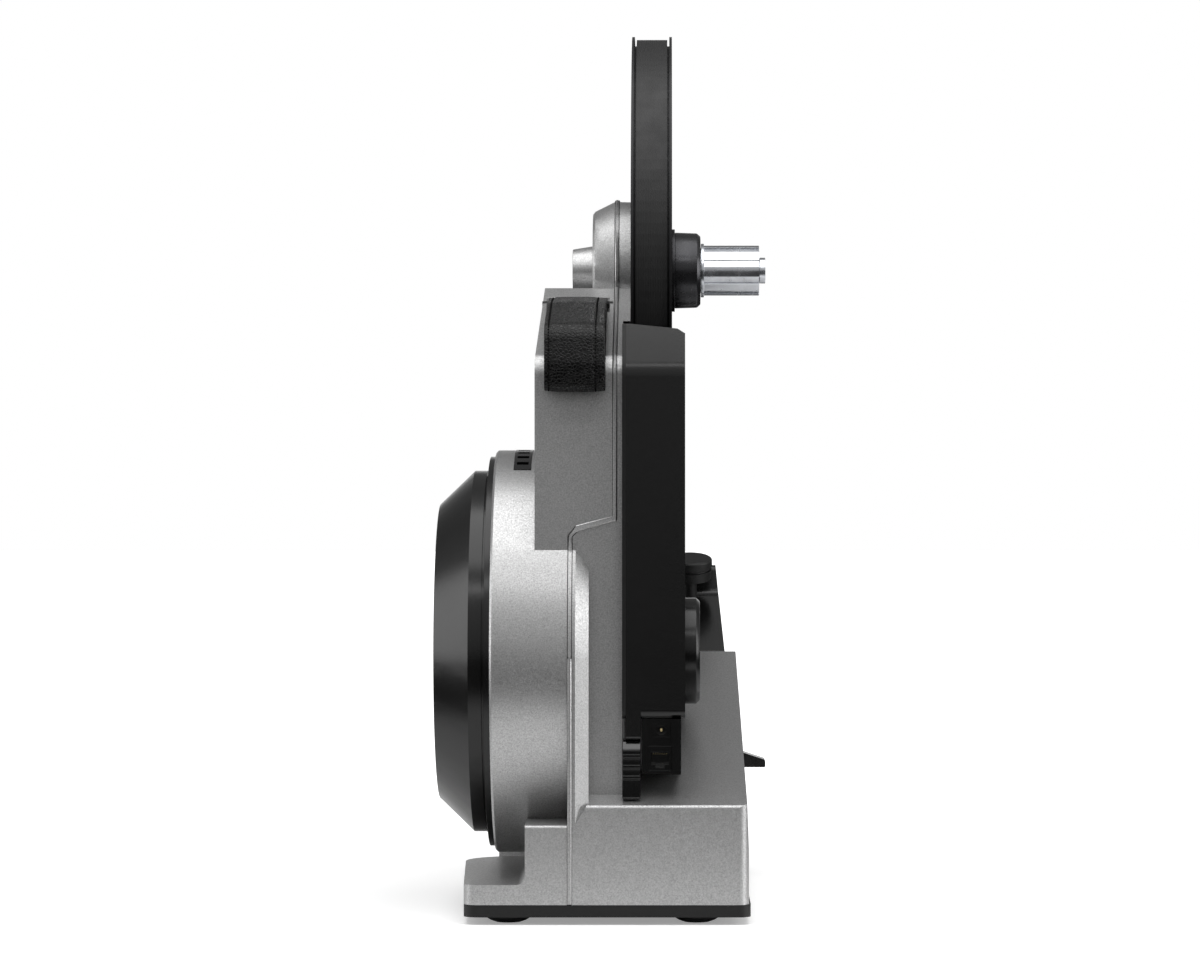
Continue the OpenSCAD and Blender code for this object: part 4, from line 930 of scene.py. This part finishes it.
@dataclass
class Hub(Assembly):
    """The hollow axle, the ratchet and the splined body."""

    solids: tuple[Solid, ...] = (
        Solid("hub_axle", ALUMINIUM, Edge.CRISP),
        Solid("left_end_cap", CASTING, Edge.FINE),
        Solid("right_end_cap", ALUMINIUM, Edge.CRISP),
        Solid("dust_ring", COLLAR, Edge.CRISP),
        Solid("drive_collar", COLLAR, Edge.FINE),
        Solid("ratchet_ring", STEEL_RING),
        Solid("pawls", STEEL),
        Solid("freehub", ALUMINIUM, Edge.CRISP),
        Solid("freehub_bearings", STEEL_RING),
    )


@dataclass
class Ports(Assembly):
    """The recess with the supply and data sockets, the lead holder and the board behind."""

    solids: tuple[Solid, ...] = (
        Solid("port_block", GLOSS, Edge.CRISP),
        Solid("dc_jack", GLOSS, Edge.CRISP),
        Solid("data_socket", GLOSS, Edge.CRISP),
        Solid("cable_clip", GLOSS, Edge.FINE),
        Solid("control_board", BOARD),
    )
    # faces whose middle is this close to a plane lie in it
    touch: float = 1e-5
    # the supply pin: how far it starts behind the front of its socket, and the steps of its dome
    pin_radius: float = 0.00115
    pin_length: float = 0.009
    pin_back: float = 0.0009
    dome_inset: float = 0.0003
    dome_rises: Pair = (0.0003, 0.00015)
    dome_degrees: float = 50.0
    # the spring contacts: size of one, place of the row behind the front and under the top
    contact: Spot = (0.00045, 0.0085, 0.0003)
    contacts: int = 8
    contact_pitch: float = 0.00127
    contact_back: float = 0.0062
    contact_drop: float = 0.0054
    contact_lift: float = 0.0018
    contact_foot: float = 0.0012

    def model(self) -> None:
        """Makes the bright pin of the supply socket and the springs of the data socket."""
        low, high = self.span("dc_jack")
        front = low.y + self.pin_back
        pin = self.pin(((low.x + high.x) / 2, front, (low.z + high.z) / 2))
        finish_piece(pin, "jack_pin_tip", "stand", GILT)
        low, high = self.span("data_socket")
        row = self.springs(
            ((low.x + high.x) / 2, low.y + self.contact_back, high.z - self.contact_drop)
        )
        finish_piece(row, "socket_springs", "stand", GILT)

    def span(self, node: str) -> tuple[Vector, Vector]:
        """Measures a solid.

        Args:
            node: The solid's name.

        Returns:
            Its lowest and its highest corner.
        """
        spots = [v.co for v in self.frame["nodes"][node].data.vertices]
        low = Vector(min(s[i] for s in spots) for i in range(3))
        high = Vector(max(s[i] for s in spots) for i in range(3))
        return low, high

    def pin(self, tip: Spot) -> Object:
        """Turns a short sleeve with a domed tip that faces the front.

        Args:
            tip: The middle of the sleeve's front end, before it is domed.

        Returns:
            The pin.
        """
        select_only(None)
        bpy.ops.mesh.primitive_cylinder_add(
            vertices=24,
            radius=self.pin_radius,
            depth=self.pin_length,
            location=(tip[0], tip[1] + self.pin_length / 2, tip[2]),
            rotation=(math.radians(90), 0, 0),
        )
        piece = bpy.context.active_object
        settle(piece)
        pick_faces(piece, lambda face: abs(face.center.y - tip[1]) < self.touch)
        for rise in self.dome_rises:
            bpy.ops.mesh.inset(thickness=self.dome_inset)
            bpy.ops.transform.translate(value=(0, -rise, 0))
        bpy.ops.object.mode_set(mode="OBJECT")
        smooth(piece, self.dome_degrees)
        return piece

    def springs(self, middle: Spot) -> Object:
        """Bends one spring contact after another, side by side under the socket's roof.

        Args:
            middle: The middle of the row.

        Returns:
            All the springs as one piece.
        """
        made: list[Object] = []
        for i in range(self.contacts):
            x = middle[0] + (i - (self.contacts - 1) / 2) * self.contact_pitch
            select_only(None)
            bpy.ops.mesh.primitive_cube_add(size=1, location=(x, middle[1], middle[2]))
            spring = bpy.context.active_object
            spring.scale = self.contact
            settle(spring)
            back = middle[1] + self.contact[1] / 2
            pick_faces(spring, lambda face: abs(face.center.y - back) < self.touch)
            bpy.ops.transform.translate(value=(0, 0, self.contact_lift))
            bpy.ops.mesh.extrude_region_move(
                TRANSFORM_OT_translate={"value": (0, self.contact_foot, 0)}
            )
            bpy.ops.object.mode_set(mode="OBJECT")
            made.append(spring)
        return join(made)


@dataclass
class Legs(Assembly):
    """The two folded legs, their hinges and pads, and the levers that let them go."""

    solids: tuple[Solid, ...] = (
        Solid("right_leg", CASTING, Edge.CAST),
        Solid("left_leg", CASTING, Edge.CAST),
        Solid("right_leg_bush", BRONZE),
        Solid("left_leg_bush", BRONZE),
        Solid("right_leg_pad", RUBBER, Edge.MOULDED),
        Solid("left_leg_pad", RUBBER, Edge.MOULDED),
        Solid("hinge_pins", STEEL, Edge.FINE),
        Solid("lever_pins", STEEL),
        Solid("right_lever", ABS, Edge.FINE),
        Solid("left_lever", ABS, Edge.FINE),
        Solid("carrier_cover", ABS, Edge.MOULDED),
        Solid("right_knob", NYLON, Edge.FINE),
        Solid("left_knob", NYLON, Edge.FINE),
    )


@dataclass
class StrapHandle(Assembly):
    """The carrying strap: one loop of thick, firm leather with two rows of stitches."""

    solids: tuple[Solid, ...] = (Solid("strap_pin", NYLON),)
    left: float = -0.0394
    width: float = 0.041
    thickness: float = 0.003
    # the grid round the band: points along and across it, its margin at each edge, and how
    # close its two ends lie where they merge
    path_step: float = 0.00125
    columns: int = 26
    margin: float = 0.0005
    corner_steps: int = 12
    end_gap: float = 1e-5
    # the round of its edges; all edges of band and thread below the last angle look soft
    edge_width: float = 0.0008
    edge_degrees: float = 50.0
    soft_degrees: float = 60.0
    # its section: how far the edges fall, and the groove under each row of stitches
    crown: float = 0.0009
    groove_depth: float = 0.0007
    groove_width: float = 0.0011
    # rows of stitches: distance from each edge, stride along the path, half size of one stitch
    stitch_in: Pair = (0.0034, 0.0068)
    stitch_stride: int = 2
    stitch_size: Spot = (0.00075, 0.00075, 0.0007)
    stitch_sunk: float = 0.00015
    # beyond this from its middle, a stitch dives into the leather by this much
    stitch_end: float = 0.0005
    stitch_dive: float = 0.0004
    # the loop from the side, counted from the hub's plane: Y, Z and radius of each corner
    outline: tuple[Spot, ...] = (
        (-0.0702, 0.4051, 0.005),
        (-0.0702, 0.4181, 0.005),
        (-0.12, 0.4126, 0.08),
        (-0.1955, 0.3945, 0.014),
        (-0.199, 0.368, 0.02),
        (-0.1935, 0.349, 0.008),
        (-0.174, 0.352, 0.008),
        (-0.1715, 0.375, 0.01),
        (-0.152, 0.3825, 0.02),
        (-0.098, 0.4086, 0.02),
    )

    def model(self) -> None:
        """Makes the band and its stitches."""
        path = self.path()
        band = self.band(path)
        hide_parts("strap_handle")
        finish_piece(band, "strap_band", "strap_set", LEATHER)
        thread = self.stitches(path)
        finish_piece(thread, "strap_stitches", "strap_set", THREAD)

    def rounded(self) -> list[Vector]:
        """Rounds the corners of the outline.

        Returns:
            Points in the Y-Z plane along the loop, in no even steps.
        """
        spots: list[Vector] = []
        count = len(self.outline)
        for i, (y, z, radius) in enumerate(self.outline):
            here = Vector((y, z))
            before = Vector(self.outline[i - 1][:2])
            after = Vector(self.outline[(i + 1) % count][:2])
            to_before = (before - here).normalized()
            to_after = (after - here).normalized()
            half = math.acos(max(-1.0, min(1.0, to_before.dot(to_after)))) / 2
            centre = here + (to_before + to_after).normalized() * radius / math.sin(half)
            start = here + to_before * radius / math.tan(half) - centre
            end = here + to_after * radius / math.tan(half) - centre
            first = math.atan2(start.y, start.x)
            sweep = (math.atan2(end.y, end.x) - first + 3 * math.pi) % (2 * math.pi) - math.pi
            for k in range(self.corner_steps + 1):
                angle = first + sweep * k / self.corner_steps
                spots.append(centre + Vector((math.cos(angle), math.sin(angle))) * radius)
        return [Vector((spot.x + HUB[1], spot.y)) for spot in spots]

    def path(self) -> list[tuple[Vector, Vector]]:
        """Walks round the middle of the band at even steps.

        Returns:
            Points in the Y-Z plane, each with the outward normal.
        """
        spots = self.rounded()
        lengths = [(spots[(i + 1) % len(spots)] - spot).length for i, spot in enumerate(spots)]
        steps = round(sum(lengths) / self.path_step)
        pace = sum(lengths) / steps
        points: list[Vector] = []
        index, gone = 0, 0.0
        for k in range(steps):
            while gone + lengths[index] < k * pace and index < len(spots) - 1:
                gone += lengths[index]
                index += 1
            share = (k * pace - gone) / max(lengths[index], 1e-9)
            points.append(spots[index].lerp(spots[(index + 1) % len(spots)], share))
        walked: list[tuple[Vector, Vector]] = []
        for i, point in enumerate(points):
            along = points[(i + 1) % steps] - points[i - 1]
            outward = Vector((along.y, -along.x)).normalized()
            walked.append((point - outward * self.thickness / 2, outward))
        return walked

    def seams(self) -> Pair:
        """Gives the distances of both rows of stitches from the left edge."""
        return self.stitch_in[0], self.width - self.stitch_in[1]

    def rise(self, across: float) -> float:
        """Gives how far the band's middle stands out at a place across its width.

        Args:
            across: Distance from the left edge.

        Returns:
            The rise: a soft crown with a groove under each row of stitches.
        """
        share = across / self.width * 2 - 1
        offsets = [(across - seam) / self.groove_width for seam in self.seams()]
        groove = sum(math.exp(-(offset**2)) for offset in offsets)
        return -self.crown * abs(share) ** 3 - self.groove_depth * groove

    def band(self, path: list[tuple[Vector, Vector]]) -> Object:
        """Lays a grid round the path and gives it its thickness.

        Args:
            path: The middle line with its normals.

        Returns:
            The band.
        """
        bpy.ops.mesh.primitive_grid_add(
            x_subdivisions=len(path), y_subdivisions=self.columns, size=1
        )
        piece = bpy.context.active_object
        for vertex in piece.data.vertices:
            i = round((vertex.co.x + 0.5) * len(path))
            across = (vertex.co.y + 0.5) * (self.width - 2 * self.margin) + self.margin
            point, outward = path[i % len(path)]
            spot = point + outward * self.rise(across)
            vertex.co = (self.left + across, spot.x, spot.y)
        select_only(piece)
        bpy.ops.object.mode_set(mode="EDIT")
        bpy.ops.mesh.select_all(action="SELECT")
        bpy.ops.mesh.remove_doubles(threshold=self.end_gap)
        bpy.ops.mesh.normals_make_consistent(inside=False)
        bpy.ops.object.mode_set(mode="OBJECT")
        solid = piece.modifiers.new("thickness", "SOLIDIFY")
        solid.thickness = self.thickness - self.margin
        solid.offset = 0
        bevel = piece.modifiers.new("edges", "BEVEL")
        bevel.width = self.edge_width
        bevel.segments = 3
        bevel.limit_method = "ANGLE"
        bevel.angle_limit = math.radians(self.edge_degrees)
        apply_all(piece)
        settle(piece)
        smooth(piece, self.soft_degrees)
        return piece

    def stitches(self, path: list[tuple[Vector, Vector]]) -> Object:
        """Shapes one stitch and copies it along both rows.

        Args:
            path: The middle line with its normals.

        Returns:
            All the stitches as one piece.
        """
        bpy.ops.mesh.primitive_uv_sphere_add(segments=8, ring_count=5, radius=1)
        first = bpy.context.active_object
        first.scale = self.stitch_size
        settle(first)
        # both ends dive into the leather, as sewn thread does
        pick_faces(first, lambda face: abs(face.center.y) > self.stitch_end)
        bpy.ops.transform.translate(value=(0, 0, -self.stitch_dive))
        bpy.ops.object.mode_set(mode="OBJECT")
        made: list[Object] = []
        for across in self.seams():
            lift = self.rise(across) + self.thickness / 2 - self.stitch_sunk
            for point, outward in path[:: self.stitch_stride]:
                spot = point + outward * lift
                stitch = bpy.data.objects.new("stitch", first.data.copy())
                bpy.context.scene.collection.objects.link(stitch)
                stitch.location = (self.left + across, spot.x, spot.y)
                stitch.rotation_euler = (math.atan2(outward.y, outward.x) - math.pi / 2, 0, 0)
                made.append(stitch)
        bpy.data.objects.remove(first)
        piece = join(made)
        settle(piece)
        smooth(piece, self.soft_degrees)
        return piece


@dataclass(frozen=True)
class Lamp:
    """A soft box: where it hangs, what it faces, its width and height, and its power in watts."""

    name: str
    place: Spot
    aim: Spot
    size: Pair
    power: float

    def hang(self) -> None:
        """Adds the lamp to the scene, unseen by the camera."""
        data = bpy.data.lights.new(self.name, "AREA")
        data.shape = "RECTANGLE"
        data.size, data.size_y = self.size
        data.energy = self.power
        made = bpy.data.objects.new(self.name, data)
        made.location = self.place
        aim = Vector(self.aim) - Vector(self.place)
        made.rotation_euler = aim.to_track_quat("-Z", "Y").to_euler()
        made.visible_camera = False
        bpy.context.scene.collection.objects.link(made)


@dataclass
class Studio:
    """The camera, the pale floor and the soft lights."""

    # the camera: its distance in front of the hub, which the photograph's perspective gives
    distance: float = 3.01
    eye_x: float = 0.0416
    eye_z: float = 0.3024
    lens: float = 129.0
    shift: Pair = (-0.0558, -0.0125)
    # the floor, and the pale paper on it: beyond the paper, metal reflects the dark of the room
    floor_size: float = 24.0
    paper: str = "f2f2f2"
    far_paper: str = "2c2c2c"
    paper_end: Pair = (0.36, 0.58)
    # the floor shines to the camera alone, so that it is white but for the object's shadow
    shine: Pair = (0.3, 1.0)
    shine_span: Pair = (0.35, 1.2)
    # the room's light from the horizon to the ceiling, which leans a little to the front
    room: Pair = (0.37, 0.8)
    lean: float = -0.28
    # above the backdrop the room is dim, and faces that slope back reflect that dimness
    dim_depth: Pair = (0.2, 0.6)
    dim_height: Pair = (0.12, 0.4)
    dim_share: float = 0.6
    # metal and clear parts see the white backdrop where it stands, low behind the object
    backdrop: Pair = (0.95, 0.99)
    lamps: tuple[Lamp, ...] = (
        Lamp("top_box", (0, -0.33, 1.2), (0, -0.1, 0), (1.5, 0.9), 9.5),
        Lamp("left_box", (-2.0, -0.15, 0.45), (0, -0.05, 0.3), (0.9, 1.6), 12.0),
        Lamp("front_strip", (0, -1.45, 1.36), (0, -0.19, 0.37), (1.6, 0.14), 3.0),
        Lamp("right_box", (1.9, -0.6, 0.55), (0, -0.05, 0.3), (1.2, 1.3), 20.0),
    )

    def camera(self) -> None:
        """Adds the camera at the photograph's place, looking along +Y."""
        data = bpy.data.cameras.new("camera")
        data.sensor_width = 36.0
        data.lens = self.lens
        data.shift_x, data.shift_y = self.shift
        made = bpy.data.objects.new("camera", data)
        made.location = (self.eye_x, HUB[1] - self.distance, self.eye_z)
        made.rotation_euler = (math.radians(90), 0, 0)
        bpy.context.scene.collection.objects.link(made)
        bpy.context.scene.camera = made

    def floor(self) -> None:
        """Lays a pale floor: white to the camera but for the object's soft shadow."""
        select_only(None)
        bpy.ops.mesh.primitive_plane_add(size=self.floor_size, location=(0, 0, 0))
        made = bpy.context.active_object
        made.name = "floor"
        material = bpy.data.materials.new("studio_floor")
        material.use_nodes = True
        tree = material.node_tree
        shader = tree.nodes["Principled BSDF"]
        shader.inputs["Roughness"].default_value = 0.9
        to_camera = add(tree, "LightPath", []).outputs["Is Camera Ray"]
        place = add(tree, "TexCoord", []).outputs["Object"]
        reach = add(tree, "VectorMath", [place], operation="LENGTH").outputs["Value"]
        away = add(tree, "MapRange", [reach, *self.paper_end], **SMOOTH)
        unseen = add(tree, "Math", [1.0, to_camera], operation="SUBTRACT")
        dark = add(tree, "Math", [away, unseen], operation="MULTIPLY")
        papers = {0: dark, 6: linear(self.paper), 7: linear(self.far_paper)}
        paper = add(tree, "Mix", papers, data_type="RGBA")
        tree.links.new(paper.outputs[2], shader.inputs["Base Color"])
        lift = add(tree, "MapRange", [reach, *self.shine_span, *self.shine], **SMOOTH)
        shown = add(tree, "Math", [lift, to_camera], operation="MULTIPLY")
        shader.inputs["Emission Color"].default_value = WHITE
        tree.links.new(shown.outputs[0], shader.inputs["Emission Strength"])
        made.data.materials.append(material)

    def world(self) -> None:
        """Makes the room: dark at the horizon, bright overhead, with a white backdrop behind."""
        world = bpy.data.worlds.new("room")
        bpy.context.scene.world = world
        world.use_nodes = True
        tree = world.node_tree
        tree.nodes.clear()
        facing = add(tree, "TexCoord", []).outputs["Generated"]
        split = add(tree, "SeparateXYZ", [facing])
        height, depth = split.outputs["Z"], split.outputs["Y"]
        leaning = add(tree, "Math", [depth, self.lean, height], operation="MULTIPLY_ADD")
        glow = add(tree, "MapRange", [leaning, 0.0, 1.0, *self.room], **SMOOTH)
        rearward = add(tree, "MapRange", [depth, *self.dim_depth], **SMOOTH)
        raised = add(tree, "MapRange", [height, *self.dim_height, 0.0, self.dim_share], **SMOOTH)
        taken = add(tree, "Math", [rearward, raised], operation="MULTIPLY")
        left = add(tree, "Math", [1.0, taken], operation="SUBTRACT")
        dimmed = add(tree, "Math", [glow, left], operation="MULTIPLY")
        rays = add(tree, "LightPath", []).outputs
        behind = add(tree, "MapRange", [depth, *self.backdrop], **SMOOTH)
        mirrored = add(tree, "Math", [behind, rays["Is Glossy Ray"]], operation="MULTIPLY")
        direct = [rays["Is Camera Ray"], rays["Is Transmission Ray"]]
        seen = add(tree, "Math", direct, operation="MAXIMUM")
        white = add(tree, "Math", [mirrored, seen], operation="MAXIMUM")
        strength = add(tree, "Mix", {0: white, 2: dimmed, 3: 1.0}, data_type="FLOAT")
        background = add(tree, "Background", {"Color": WHITE, "Strength": strength})
        add(tree, "OutputWorld", {"Surface": background})

    def build(self) -> None:
        """Lays the floor and hangs the lights."""
        self.floor()
        self.world()
        for lamp in self.lamps:
            lamp.hang()
        bpy.context.scene.view_settings.view_transform = "Standard"


def main() -> None:
    """Builds the studio and every sub-assembly."""
    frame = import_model()
    studio = Studio()
    studio.camera()
    for kind in (Castings, FlywheelSide, BeltSide, Hub, Ports, Legs, StrapHandle):
        select_only(None)
        kind(frame).build()
        log.info("built %s", kind.__name__)
    studio.build()


if __name__ == "__main__":
    logging.basicConfig(level=logging.INFO)
    main()
